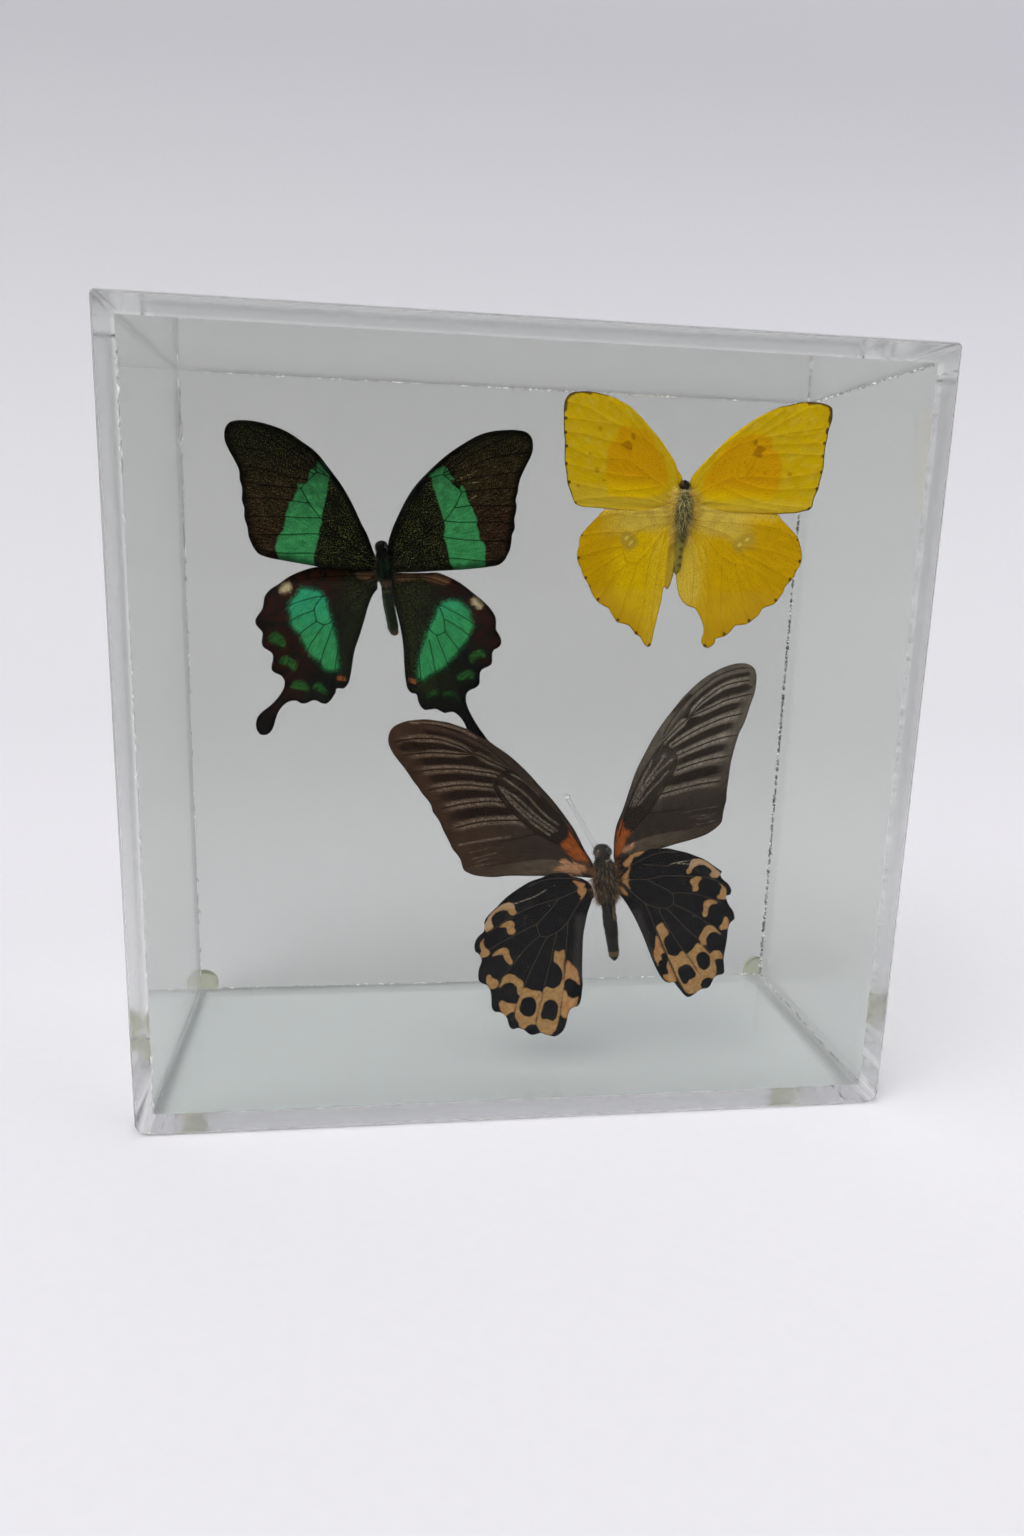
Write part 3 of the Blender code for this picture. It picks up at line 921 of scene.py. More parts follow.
def markDepth(flat, shapes):
    # the depth inside the nearest of a mark's shapes: closed outlines, or round spots (out, up, radius)
    best = np.full(len(flat), -wingSheet["farAway"])
    for shape in shapes:
        if len(shape[0]) == 3:
            depths = [radius - np.hypot(flat[:, 0] - out, flat[:, 1] - up) for out, up, radius in shape]
        else:
            depths = [depthInside(flat, smoothLine(shape, wingSheet["markStep"], closed=True))]
        best = np.maximum(best, np.max(depths, 0))
    return best


def lineAway(flat, lines):
    return np.min([distanceTo(flat, smoothLine(line, wingSheet["lineStep"])) for line in lines], 0)


# Lines that a wing may carry, and the marks of each kind of wing
lineMarks = {"streaks": "streakAway", "darkStreaks": "darkAway", "scribbles": "scribbleAway"}
wingMarks = {
    "green_forewing": ["band", "outer", "costalGreen"],
    "green_hindwing": ["patch", "lunules", "pale", "orange", "eye", "salmon"],
    "yellow_forewing": ["orange", "spots", "dots", "apex", "freckles"],
    "yellow_hindwing": ["ringed", "brown", "dots", "shade", "beige", "fold"],
    "black_forewing": ["striped", "wedge", "cell", "rearStrip", "baseOrange", "salmon"],
    "black_hindwing": ["peach", "pink", "orange", "ovals", "innerStrip", "dust"],
}


# Points of a wing's plane as "out,up out,up ..." in mm. A slash starts another line, a point written
# twice is a corner, and a third number makes a point a round spot of that radius.

# The green and black butterfly's wings, traced

greenForewingLeft = {
    "margin": """
      2,-2.6 2,-2.6 2,1 2.6,3.5 3.6,7.5 4.6,10 6.3,15 8.4,20 11.3,25 14.7,30 17.8,32.7 21,35.2 25,37.2
      28.5,38.4 31.5,39 34,39.1 35.7,38.7 36.8,37.6 37.4,36 37.5,34.5 37,32.3 36.1,30 35.3,27.8 35,26.3
      35.2,24.3 34.9,22.3 35,21 35.4,19.2 35.1,17 35.4,14.5 35,12 35,9.5 34.5,7.5 33.9,6 33.3,5 31,3.7
      27.5,2.6 22,1.1 17,-.3 11,-1.7 6.5,-2.5""",
    "veins": """
      2.6,2 5,8.5 7.8,15.5 11.3,22.5 14.8,24.6 / 2.4,3 4.5,9 7.2,16 11,23.5 14,27.5 17,31.5 / 9,18.5
      13.4,26.4 19.5,33 / 12.5,23.5 15.2,26.5 22,34.8 / 14.8,24.6 15.3,26.3 20,31 28,37.5 / 14.8,24.6
      20,29.5 27,34.5 32,37.5 / 15.6,24.2 20,26.5 27,30.5 36,33 / 17.5,22.8 22,23.8 29,26.5 35.2,28 /
      14.8,24.6 17.3,22.8 19.7,20.8 / 3,0 9,5.5 12.5,9 15.5,12.7 18,16.8 19.7,20.8 / 19.7,20.8 25,21.6
      35.2,24 / 18,16.7 22.5,17.8 29,19 35.3,19.4 / 15.5,12.7 20,13.1 25,13.8 35.3,14.8 / 10,6.5 16.5,8.5
      25,9.1 34.9,10 / 2.5,-1 10,1.6 18,3.5 28,4.6 34,6.3""",
    "band": """
      11.5,23.3 12.3,25.2 13.5,26.2 14.4,26.4 15.2,25.8 16.4,25.2 17,24.4 17.1,23.6 17.6,22.6 18.4,21.9
      19.6,21.7 20.2,22.2 20.4,21 21.2,19.5 22.1,17.9 23.2,17.3 23.6,16 24.4,14.7 24.7,13.2 25.2,11.8
      25.8,10.2 27.3,8.9 27.8,7.4 28.4,6 28.2,4.5 27.9,3 27.5,2 22,.5 18.6,-.3 18.9,2 18.2,4 17.4,6
      16.6,8 16.4,9.5 15.4,11.5 15.2,12.8 14.9,14 14.1,16 13.4,18 12.6,20 12.4,21.5 11.9,22.5""",
    "outer": "13.5,27.5 23,17 28,6 28.5,2 40,2 40,42 20,42",
    "costalGreen": "11,24 13.5,27.8 14.2,27.6 11.8,23.8",
}
greenForewingRight = {
    "scribbles": "22.5,19.5 28.5,21.5 / 25,18.3 29,18.5 / 25,13.8 27.5,15",
    "margin": """
      2,-3.6 2,-3.6 1.8,3.5 2,4.5 3.3,7.7 5.2,11 8,15.3 10.5,18.4 14.5,21.9 18.5,24.9 22,27.1 26,29.1
      30,30.7 33.5,31.3 37,31.3 40.5,31 42.8,30.2 43.9,28.8 44.1,27.5 44,26 43.4,24.2 42,22 40.9,20.2
      39.8,18.3 39.2,16.6 38.8,14.8 38.1,13 38.2,11.2 37.8,9.5 37.2,7.8 37.1,5.3 36.2,3.6 35.8,1.5
      35.3,-.2 34.4,-1.7 33.5,-3 32,-4 29,-4.4 24,-4.5 19,-4.4 13.9,-4.2 8,-4 4.5,-3.7""",
    "veins": """
      2.2,1.5 5,7.5 8.5,13 12,17.5 15.7,20.6 18.8,21.2 / 2.2,3 5.5,10 9.5,15.8 14,20.5 19.5,25 23,27.4 /
      11,17 15.5,21.8 19.7,24.6 25,28.2 / 18.8,21.2 19.5,22.5 23,25 30,28.8 36,30.7 / 18.8,21.2 22,23
      28,26.2 36,29 41,30.5 / 19.5,20.9 25,22.3 33,24.5 43.5,25 / 22,18.6 27,19.6 34,20 40.9,20.2 /
      23.5,16.2 27,16.2 33,16.3 39.2,16 / 18.8,21.2 20.2,20 21.2,18.8 22.6,17.4 23.5,16.2 / 2.5,-.5 8,3.5
      13,6.5 18,9.2 21,12.2 23.5,16.2 / 21,12.2 25,12.4 30,12 38.1,11.3 / 18,9 22,8.3 26,8 32,7.5
      37.1,6.5 / 13,6.2 18,4.6 22,3.7 27,2.9 36,1.8 / 2.5,-2 10,-1.5 18.5,-1.1 27,-2.6 33,-3.2""",
    "band": """
      15,21.3 15.4,20.8 16,20.2 15.8,19.2 16.3,17 16.8,14.5 17.3,12 17.8,9.6 18.1,8 18,6.8 17.4,4.8
      17.9,3 18.2,.5 18.3,-1.5 18.8,-3.5 19.3,-4.5 24,-4.6 28,-4.5 28,-2.5 28.3,-.5 28.4,1.5 27.8,2.6
      27.1,3.3 27.1,5 26.6,7.2 26.9,8.6 26.3,10.3 25.7,12.1 25,13.5 24.6,15.5 24.2,17.3 23.7,18 23.2,16.9
      22,17.6 21.1,18.6 20.8,19.6 21.9,19.7 21,20.7 20.4,22 19.9,23.1 18.6,23.2 16.8,22.6""",
    "outer": "19,25 24,18 27,8 28.5,-5 46,-5 46,34 26,34",
    "costalGreen": "13.5,21.5 16.5,24.1 17,23.6 14.5,21.4",
}
greenHindwingLeft = {
    "margin": """
      2.4,-7.6 2.4,-7.6 2,-2.4 2,-2.4 10,-1.5 16,-.2 18.5,-.1 22,-.7 26,-2 29,-3.7 31.5,-5 33.2,-6.8
      33.7,-8.5 34.2,-9.9 35.5,-11.3 36.5,-12.8 36.5,-13.8 35.8,-15 35.1,-16.2 35.3,-17.5 35.7,-19
      35.4,-20.2 34.2,-21.2 33.3,-22.2 33.3,-23.8 33.9,-25.3 34,-26.7 33.1,-27.7 31.8,-28.5 31.1,-29.8
      31.3,-31.5 32.3,-33.2 34,-35 36,-36.6 38,-37.8 39.6,-39.2 40.4,-41 40.4,-42.8 39.6,-44.2 38.4,-44.5
      37,-44 35.8,-42.5 34.8,-40.2 33.5,-38 31.8,-36.5 30,-35.8 28.4,-36 27.6,-36.7 26.5,-37 25.4,-36.8
      24.3,-36.4 23,-36.6 21.8,-37.5 20.6,-37.8 19.5,-37.2 18.2,-35.8 17.4,-34.6 17.2,-33.9 16.3,-33.9
      15.2,-34 13.9,-33 12.8,-30.5 11.8,-27 10.7,-23.5 9,-20 7,-15.5 5.3,-11.5 3.8,-9""",
    "veins": """
      3,-4.5 12,-6.5 18,-8.5 20.2,-11 20.2,-14.7 / 20.2,-14.7 18.2,-15.8 16.6,-15.5 / 3,-5.5 10,-10.5
      16.6,-15.5 / 3,-4 14,-3 22,-3 30,-5 / 16,-7.8 22,-8.5 28,-10 36,-13.2 / 20.2,-11.5 26,-13.3
      31,-16.5 35.4,-19.2 / 20.2,-14.7 25,-17.5 30,-22.5 33.8,-26.3 / 18.2,-15.8 20.5,-18.3 22.8,-21
      27,-28 33,-34.5 39,-42.5 / 15,-14.5 17.5,-19.5 20,-24.5 23.5,-31.5 26.8,-37 / 11,-11 14.5,-20
      17,-28.5 20.6,-37.6 / 3,-6 8,-14 12.5,-24.5 14.8,-30.5 15.5,-33.8""",
    "patch": """
      23.2,-5.9 20.5,-6.5 18.8,-7 17.8,-8 17.2,-9.5 16.9,-12 16.4,-15 16.1,-18 15.7,-21 15.9,-24
      16.1,-26.5 16.4,-28.2 18.5,-28.2 19.8,-27.5 20.3,-25.5 21.5,-24.8 22.8,-23.5 23.8,-21 24.5,-19
      25,-17.2 26.2,-16 26.8,-14 26.5,-12 26.9,-10.5 26,-9 25,-7.8 24,-7""",
    "lunules": """
      33.6,-18.2 32.6,-16.8 31.3,-16.4 30.3,-17.4 29.5,-18.8 29.4,-20.4 30.4,-20.6 31.6,-19.6 33,-19.3 /
      31.8,-24.8 31,-23.5 29.8,-23.2 28.4,-24.2 27.2,-25.4 27.5,-27 28.3,-27.6 29.2,-26.2 30.6,-25.6 /
      29.6,-31.8 28.8,-30.8 27.2,-30.4 25.4,-31.3 24.8,-32.6 25.2,-34 26.4,-33 28,-32.8 / 23.6,-32.6
      22.6,-31.5 21.4,-31.8 20.4,-33.2 19.9,-35 21,-34.6 22.4,-33.6""",
    "pale": "27,-4.7,1.1 27.9,-5.2,.8",
    "orange": "16.6,-30.6 14.2,-31.1 14.1,-31.9 16.6,-31.4 / 17.2,-34,.35",
    "eye": "15,-32.7,.75 15.9,-32.5,.75",
    "salmon": "2,-2.6 7.5,-2.3 7.5,-3.3 2,-3.7",
}
greenHindwingRight = {
    "margin": """
      1,-9 1,-9 2,-3.5 2,-3.5 6,-4 12,-4.5 14.5,-4.7 17,-5.8 20.5,-8 24,-11.2 27,-14.2 28.7,-16.5
      29.6,-18.8 29.5,-20.5 29.3,-21.8 30,-23.2 30.5,-24.8 30.3,-26.2 29.3,-27.1 28.2,-27.6 27.6,-28.7
      27.5,-30.2 27.1,-31.5 25.8,-32.2 24.4,-32.7 23.6,-33.8 23.4,-35.2 23.1,-36.8 22,-37.8 20.4,-38.3
      19.3,-39.2 18.9,-41 19.2,-43.2 20,-45.5 21.5,-48.8 23,-51.5 24.3,-53.6 25.6,-55 26,-56.6 25.2,-57.8
      23.8,-57.9 22.4,-57 20.8,-54.5 19.3,-51.8 18.2,-49.2 17.4,-47 16.2,-45.2 14.8,-44.1 13.4,-44.1
      12.4,-44.2 11.4,-43.6 10,-42.8 8.4,-42.8 6.9,-42.8 5.9,-41.8 5.2,-39.8 4.9,-38 3.6,-37.5 2.7,-36.2
      2.4,-33.5 2.5,-29 2.8,-24 2.6,-19 1.9,-13.5""",
    "veins": """
      3,-6 9,-8.5 13.5,-13 14.9,-17 15,-21.2 / 15,-21.2 12.4,-21.8 11,-20.5 / 3,-7 7.5,-14.5 11,-20.5 /
      3,-5 12,-6 20,-10 28.8,-17 / 13.5,-13 19,-16.5 25,-21 30.4,-25 / 15,-17.5 19.5,-20.8 24,-26
      27.3,-30.9 / 15,-21.2 18,-26 21,-32 23,-36.7 / 12.4,-21.8 14,-27.5 16,-34 19,-42 25,-56 / 10.3,-23
      10.8,-29 11.5,-36 12.6,-44 / 7,-16 7,-27 6.7,-36 7,-42.6 / 2.5,-8 4,-20 4,-30 3.6,-37""",
    "patch": """
      15.5,-13.2 18,-13.1 20.2,-13.9 21,-15 22,-16 22.1,-17.5 22.5,-19 22.8,-20 21.8,-21.5 20.8,-23.5
      19.5,-24.8 18.2,-26.2 16.8,-27.8 15.2,-29 14,-30.3 12,-31.5 10.5,-32 8.5,-33 7,-33.8 6.3,-33
      6.5,-31 7,-29 7.5,-27 8.4,-25 9.5,-23 10.2,-21.3 11.2,-19.5 12.5,-17.5 13.5,-15.5 14.2,-14""",
    "lunules": """
      21,-29.2 21.6,-28 23.2,-27.3 24.8,-27 25.5,-28 25.6,-29.3 24.2,-29.2 22.6,-29.6 21.6,-30.6 /
      16.8,-35 17.6,-33.6 19.2,-32.8 21.4,-32.7 22,-34 21.6,-35 19.8,-34.8 18,-35.4 / 12.3,-39.2
      13.2,-38.2 14.8,-38 16.2,-38.9 17.1,-40.2 17.2,-41.7 16,-40.9 14.6,-39.6 13,-40 / 7.4,-39.9 8,-38.6
      9.6,-37.5 11.2,-37.4 11,-38.6 9.6,-39 8.4,-39.8""",
    "pale": "24.5,-13.6,1 25.3,-14.5,.8",
    "orange": "3.2,-33.3 5.3,-34.4 5.1,-35.2 3.2,-34.1",
    "eye": "4,-35.4,.7 4.8,-35.9,.7",
    "salmon": "2,-3.7 10,-4.6 18,-6.7 17.6,-7.3 10,-5.6 2,-4.9",
}


# The yellow butterfly's wings, traced

yellowForewingLeft = {
    "margin": """
      3.4,1.5 3.4,1.5 1.6,4.5 .7,7.5 .7,8.5 2.2,10.7 4,13.3 6.1,15.7 8.4,18.1 11.1,20.4 13.7,22.5
      16.1,24.2 18.4,25.7 20.8,26.7 23.1,27.5 25.2,27.8 27.2,28.1 29,28.2 30.8,28.1 33.1,27.8 34.6,27.5
      35.8,26.6 36.4,25.4 36.6,23.9 36.6,22.5 36.5,20.7 36.3,18.6 36.1,16.9 35.8,15.1 35.7,13.3
      35.5,11.6 35.3,9.8 35,8.3 34.6,6.3 34.3,4.8 33.6,3.1 32.7,1.3 32.1,.1 31.3,-.8 30.2,-1.2
      27.2,-1.3 23.7,-1.3 16,-1.4 9,-1.4""",
    "veins": """
      1.7,5 3,8 5,11.5 8,14.3 12,16.8 16,18.7 20,20.3 24,21.5 30,24 36,25 / 2,3.5 6.5,6 10,7.8 14,10
      17,11.6 26,11.5 35.4,13.9 / 16.8,14.8 20,15.8 25,16.3 30,17.3 35.9,17.3 / 1.5,6 3.5,12 8,17 12,20
      18,24.5 / 16,18.7 16.8,14.8 17,11.6 / 20,20.3 26,20.6 36.1,20.9 / 10,7.8 18,7.6 27,8.3 35,9.5 /
      6.5,6 15,4.2 24,3.6 33.9,4.8 / 4,1 14,2.2 28,.8 32,0 / 12,16.8 17,21.5 24,26.5""",
    "orange": """
      20.3,20.7 22.3,16.3 23.6,15 23.9,12 23.9,8 23.4,5 22.6,2.3 18,1.8 12,2 8,3 5,5.5 4.5,8 5.5,11 7,14
      9.5,17 12.5,20.3 16,20.5""",
    "spots": "17.1,18.8 16.3,18.9 15.9,17.4 16.6,17.2 17,17.8 / 19.9,15.8 17.6,16.9 16.5,14.6",
    "dots": "36,20.9,.35 35.8,17.3,.35 35.3,13.9,.35 34.9,9.5,.35 33.8,4.8,.35 31.5,-.5,.3",
    "apex": "29,27.9 33,27.5 35.5,26 36.2,22.4 37.4,22.4 37.2,27.5 33,29 29,29",
    "freckles": "26.2,8.5,.7 31.2,4,.5 26.1,19.2,.6 28.5,12.5,.4 24,6,.4",
}
yellowForewingRight = {
    "margin": """
      3,2 3,2 1.9,5 1.6,7.7 2,9.2 3,10.8 4.7,13 6.2,14.7 7.8,16.6 10,18.9 12.2,21.1 14.4,23 16.9,24.9
      19.4,26.6 21.9,28 24.1,29.1 26.9,29.9 29.4,30.7 31.2,31.1 33.7,31.2 36.2,31.1 38.1,30.7 39.1,30.1
      39.5,28.9 39.7,27.4 39.5,26.1 39.1,24.2 39,22.4 38.8,20.5 38.7,18.3 38.7,16.1 38.8,14.2 38.7,12.4
      38.4,10.5 38.1,8.3 37.5,6.7 37.1,5.2 36.9,3.6 36.2,2.7 34.4,2.1 32.5,1.5 30,1.2 27.5,.9 18,.2 9,0""",
    "veins": """
      3,6 6,11 9,14.5 13,17.8 17.5,19.6 24,21.5 39,25 / 4,4.5 9,7.6 13,9.3 17,10 27,10.5 38.5,13 / 2.5,7
      5.5,13.2 11,18.8 17,23.8 21,26.5 / 13,17.8 19,23 26,28.6 / 17.5,19.6 24,24 33,29.8 / 24,21.5 31,22
      38.9,24 / 17.5,19.6 19,15.6 17,10 / 18.6,16 27,17 38.4,17.3 / 18.9,18.6 28,19.6 38.5,20.7 / 13,9.3
      22,7.4 37.8,8.5 / 9,7.6 20,3.9 36.2,2.9 / 5,2.8 16,2.4 27,1.6""",
    "orange": """
      23.5,20.5 24.1,18.3 26,16.7 27,14.5 27.1,11 27,8.5 26.4,6 25.5,4.5 18,4.5 10,3 5.5,4 4.8,7 6,11
      8,14.5 11,18.5 14.5,21 18.5,21.8 22,21.5""",
    "spots": "18.9,20.3 19.3,19 18.3,18.6 17.9,19.2 / 19.7,18.6 21.9,17.7 20.6,16.8 21.2,15.9 18.4,16.1",
    "dots": "38.8,24.3,.45 38.7,23.6,.4 38.3,20.7,.35 38.3,17.3,.35 38.4,13,.35 37.7,8.5,.35 36.1,2.9,.35",
    "apex": "32,30.8 36,30.7 38.3,29.8 39,26 40.5,26 40,31 36,32 32,31.8",
    "freckles": """
      9.3,12.8,.25 10.6,13.9,.3 12.2,14.9,.25 13,11.3,.3 14.5,12,.25 16.3,14,.3 17,13,.25 18.5,12.7,.3
      20,12,.3 22.4,11.5,.35 29.3,11.8,.7 15.2,13.2,.2 21.2,13.1,.2 11.6,12,.2""",
}
yellowHindwingLeft = {
    "margin": """
      2.4,-4 2.4,-4 2.4,2.6 4.5,1.6 8,.2 12,-.9 18,-1.3 23.6,-1.5 23.6,-1.5 25.3,-3.5 26.7,-5.1
      28.3,-6.9 29.4,-8.5 29.9,-9.8 30,-11.3 30.4,-13.2 30.2,-14.8 29.7,-16.3 28.9,-17.6 28.3,-19.1
      27.4,-20.5 26.3,-22.1 25.5,-23.5 24.4,-25.1 23,-26.5 21.4,-27.3 20,-27.9 18.9,-29.4 18,-30.5
      16.8,-31.6 15.2,-31.9 13.6,-32.3 12.4,-33.3 11.1,-34.7 9.7,-35.3 8.8,-36.6 7.8,-37.6 6.8,-38.1
      6.1,-37.7 5.7,-36.3 5.5,-34.4 5,-31.3 4.5,-28.2 4,-25.2 3.8,-22.8 3.4,-21.2 2.5,-22 2.5,-22
      1.8,-20.2 1.2,-18 1,-15.6 .9,-12""",
    "veins": """
      4,-4 10,-5 14.5,-8 17.5,-11 / 17.5,-11 15.3,-15 12.6,-15.2 / 5.3,-5.7 8.5,-10.5 12.6,-15.2 / 4,-2
      14,-2.8 22,-2.8 26.5,-4.8 / 12,-6 15,-7 21,-7.5 29.3,-8.8 / 17.5,-11 24,-12.5 29.9,-14.9 /
      17,-12.5 22,-16 27.5,-20 / 15.3,-15 19,-19.5 23.3,-25.7 / 12.6,-15.2 13.5,-19 14.6,-22.5 16.8,-31
      / 7.5,-9.5 8.8,-14 9.3,-20 9.7,-28 10.9,-34.3 / 4.5,-5 6,-15 6.5,-25 6.3,-37.5 / 3.4,-8 3.5,-14
      3.5,-19 3.4,-22.4""",
    "fold": ".5,-8 3.1,-10 3.2,-15 3.3,-19.5 3.2,-21.3 2.5,-22.6 1,-20 .5,-14",
    "ringed": """
      16.1,-8.3,.38 16.35,-8.55,.38 16.6,-8.8,.38 / 14.65,-9.45,.42 14.95,-9.85,.42 15.25,-10.25,.42""",
    "brown": "18.5,-7.2 17.2,-10.8 15.5,-11.8 13,-10.5 12.6,-9.3 14,-7.5 15.5,-7",
    "dots": """
      29.9,-14.8,.35 27.4,-20,.35 23.2,-25.6,.35 16.8,-31,.35 10.9,-34.3,.35 6.4,-37.6,.35 29.3,-8.8,.2
      26,-22.1,.2""",
    "shade": "18,-9 20.5,-14 20,-20 17.5,-26 12,-29 9,-33 6,-39 16,-34 27,-25 33,-14 30,-4 25,-2 21,-5",
    "beige": "4,.5 4,-1.8 12,-2.3 22,-2.6 25,-3.6 26,-1 12,0",
}
yellowHindwingRight = {
    "margin": """
      1,-5 1,-5 2,3 4.5,2.4 8,1.2 12,.6 20,.5 27,.8 27,.8 28.4,-.6 30.6,-2.5 32.5,-4.2 33.9,-5.8
      34.7,-7.8 35.3,-9.7 35.5,-11.6 35,-13.1 34.2,-14.4 33.9,-15.6 33.1,-17 31.6,-18.9 31.2,-20.5
      30.2,-22.2 28.8,-23.9 27.2,-24.7 25.8,-25.4 25,-26.9 23.4,-28.6 21.9,-29.8 20,-30.4 18.3,-30.7
      17.3,-32.2 15.6,-33.8 14.1,-34.3 12.9,-34.7 12.9,-34.7 13,-35.6 12.2,-36.7 10.8,-37.5 9.7,-37
      9,-35.9 9,-34.7 9.3,-33.1 9.1,-31.6 8.3,-29.7 7.3,-28 6.2,-26.6 4.7,-26.2 2.8,-25.2 1.6,-23.8
      .6,-21.2 0,-18.1""",
    "veins": """
      7,-6.5 10.5,-10.5 13.5,-12.5 16,-13.5 / 16,-13.5 18.5,-13.4 18.3,-10.5 15,-7 4,-3.5 / 16.2,-13.6
      18,-18 20,-24.5 22.2,-29 / 18.6,-13.4 20.3,-16.3 22.8,-21 26,-24 / 18.6,-13.4 22,-15 25.5,-17.5
      29.3,-22.9 / 18.3,-10.8 25,-13.5 32.8,-16.9 / 17,-8.5 25,-9.2 35,-11.7 / 4,-2.5 18,-2.6 27,-3.2
      33.6,-5.8 / 12.5,-12 13,-20 13.6,-27 15.3,-33.2 / 7,-8 9,-18 9.8,-28 10,-36.9 / 2.5,-6 4.5,-14
      5.2,-24""",
    "ringed": "18.75,-6.85,.4 19.05,-6.65,.4 19.3,-6.5,.4 / 16.75,-8.5,.45 17,-8.3,.45 17.2,-8.1,.45",
    "brown": "22.2,-6.3 20.5,-9.2 18.8,-10.1 17,-9.6 15.2,-7.9 16.2,-5.8 18,-5.5 20.5,-4.8",
    "dots": """
      35,-11.6,.35 32.7,-16.8,.35 29.2,-22.8,.35 22.1,-29,.35 15.3,-33.2,.35 10.1,-36.9,.4 33.5,-5.8,.25
      33.9,-14.4,.15""",
    "shade": "20,-8 24,-13 24,-19 20,-26 14,-30 9.5,-33 9,-38 16,-36 27,-28 36,-18 38,-10 34,-2 27,2 24,-4",
    "beige": "2,.8 2,-1.5 12,-1.2 22,-1 27,-.6 28,1.5 / 0,-5 3,-7 6,-14 6.5,-24 2,-26 -1,-18",
}


# The black butterfly's wings, traced. Streaks are pale lines, darkStreaks black ones.

blackForewingLeft = {
    "margin": """
      3.5,1 3.5,1 2.9,4.6 4.85,10 7.15,16.5 8.7,19.6 11.2,24.2 13.3,27.5 15,30 17.5,33.8 20,37.1
      22.9,40.4 25.6,42.9 27.7,44.9 29.8,46.3 32.5,48.5 35,49.8 37.5,51 40,51.7 42.9,52.5 46,52.8
      48.7,52.8 50.6,52.4 52.2,51.7 53.1,50.8 53.8,49.4 54.1,47.7 53.9,46.3 53.4,44.8 52.6,43.1
      51.2,40.6 50,38.1 49.1,36 48.1,34.2 47.2,32.1 45.9,30 45.3,28.5 45.1,26.7 44.3,25.2 43.5,23.1
      43.1,21.3 42.5,19.4 41.8,17.3 41.3,15.4 40.2,13.5 39.5,11.7 39.3,10 38.9,8.8 37.9,8 36.4,7.1
      34.5,6.5 31.4,5.8 27.5,5.6 24.8,5.3 21.4,4.7 18.1,4.2 12,3 7,2""",
    "veins": """
      45,51.7 40,50.4 37.2,49.1 35,48 31.9,45.9 30,44.6 28.2,43.1 22.8,36.8 / 52.4,47.8 50,47.8
      47,47.75 44,47.4 40,46.5 37.2,45.1 35,43.9 32.3,41.8 30,40.6 27.6,38.8 25.2,37.3 22.7,35.6 /
      50.4,43.7 47,43.6 44,43.4 40,42.8 35,41.8 32.1,41.4 / 48.9,38.5 45,38.6 40,38.3 35,37.5 30,36.1
      26.5,34.9 25.6,34.3 / 45.3,33 40,33.4 35,33.1 30,31.9 27.6,31.3 / 42.7,27.3 40,27.6 36,27.9
      32.9,27.9 29.1,27.6 25.4,26.7 / 39.5,21.5 36.8,21.8 32.9,22.1 29.1,22 25.2,21.6 21.6,21 / 28,15.6
      17.2,16.5 / 5,9 8.5,16.5 12,22.5 16,28.5 20,33.2 22.9,35.8 / 22.9,35.6 25.6,34.3 26.9,33
      27.4,31.5 / 27.4,31.5 26.8,29.5 25.2,26.5 23.3,23.9 21.4,21 18.8,18.2 16.8,16.2 14,14 11.2,12""",
    "darkStreaks": "43.2,49 40,48 37.2,47 35,45.8 30,42.3 27.4,40.6",
    "streaks": """
      47.5,52.2 40,50.8 35,48.9 30.4,45.9 / 11,17.9 15.2,22.3 19.1,28.1 24.5,33.5 / 11.8,16.5 17.2,21.9
      22.2,28.1 26,31.2 / 12.9,16.2 19.1,22.3 23.3,27.3 25.6,30.4 / 14,15.5 18.5,20 22,24.5 24.6,28.5 /
      15.2,27.3 19,31.9 22.2,34.2 / 39.5,16.3 33,16.7 25,16.8""",
    "scribbles": "36.5,13.6 31,14.4 / 36.5,11.7 29.5,12.7 / 35.5,10.8 30,11.5 / 35.5,9.6 30,9.8",
    "striped": """
      20,34 22.9,36.9 30.4,46.2 40,51.6 47,53.4 55,52.5 55.5,47 52,41 48,32 43.5,20.2 39.5,19.6 33,20.4
      25,20.1 21,19.3 21.2,21 25.4,26.9 27.6,31.5 25.6,34.4 22.9,35.4""",
    "wedge": "37,43.7 42,44.9 50.5,46.9 51.5,45.6 50.5,44.8 42,44",
    "cell": """
      5,9 8.5,16.5 12,22.5 16,28.5 20,33.2 22.9,35.8 25.6,34.3 27.4,31.5 25.2,26.5 21.4,21 16.8,16.2
      11.2,12""",
    "rearStrip": "39,8.6 29.8,8.8 25.2,9.1 19.8,9 15.6,8.7 12.9,8.1 11.4,7.3 7,1 20,2 30,4 40,6",
    "baseOrange": """
      8.8,17.5 7.9,15 6.4,11.9 4.8,8.1 3.9,5.4 5.6,6.5 7.9,7.5 8.9,9.2 10.4,10.8 11.2,12.1 9.8,13.3
      8.5,14.8""",
    "salmon": """
      11.8,7.6 9.8,7.3 7.9,6.3 5,4.6 5,3.3 7.9,5.2 9.8,6.3 11.8,7 / 14.1,4.9 11,6.5 7,5.3 6.5,2.5
      10.2,3.8""",
}
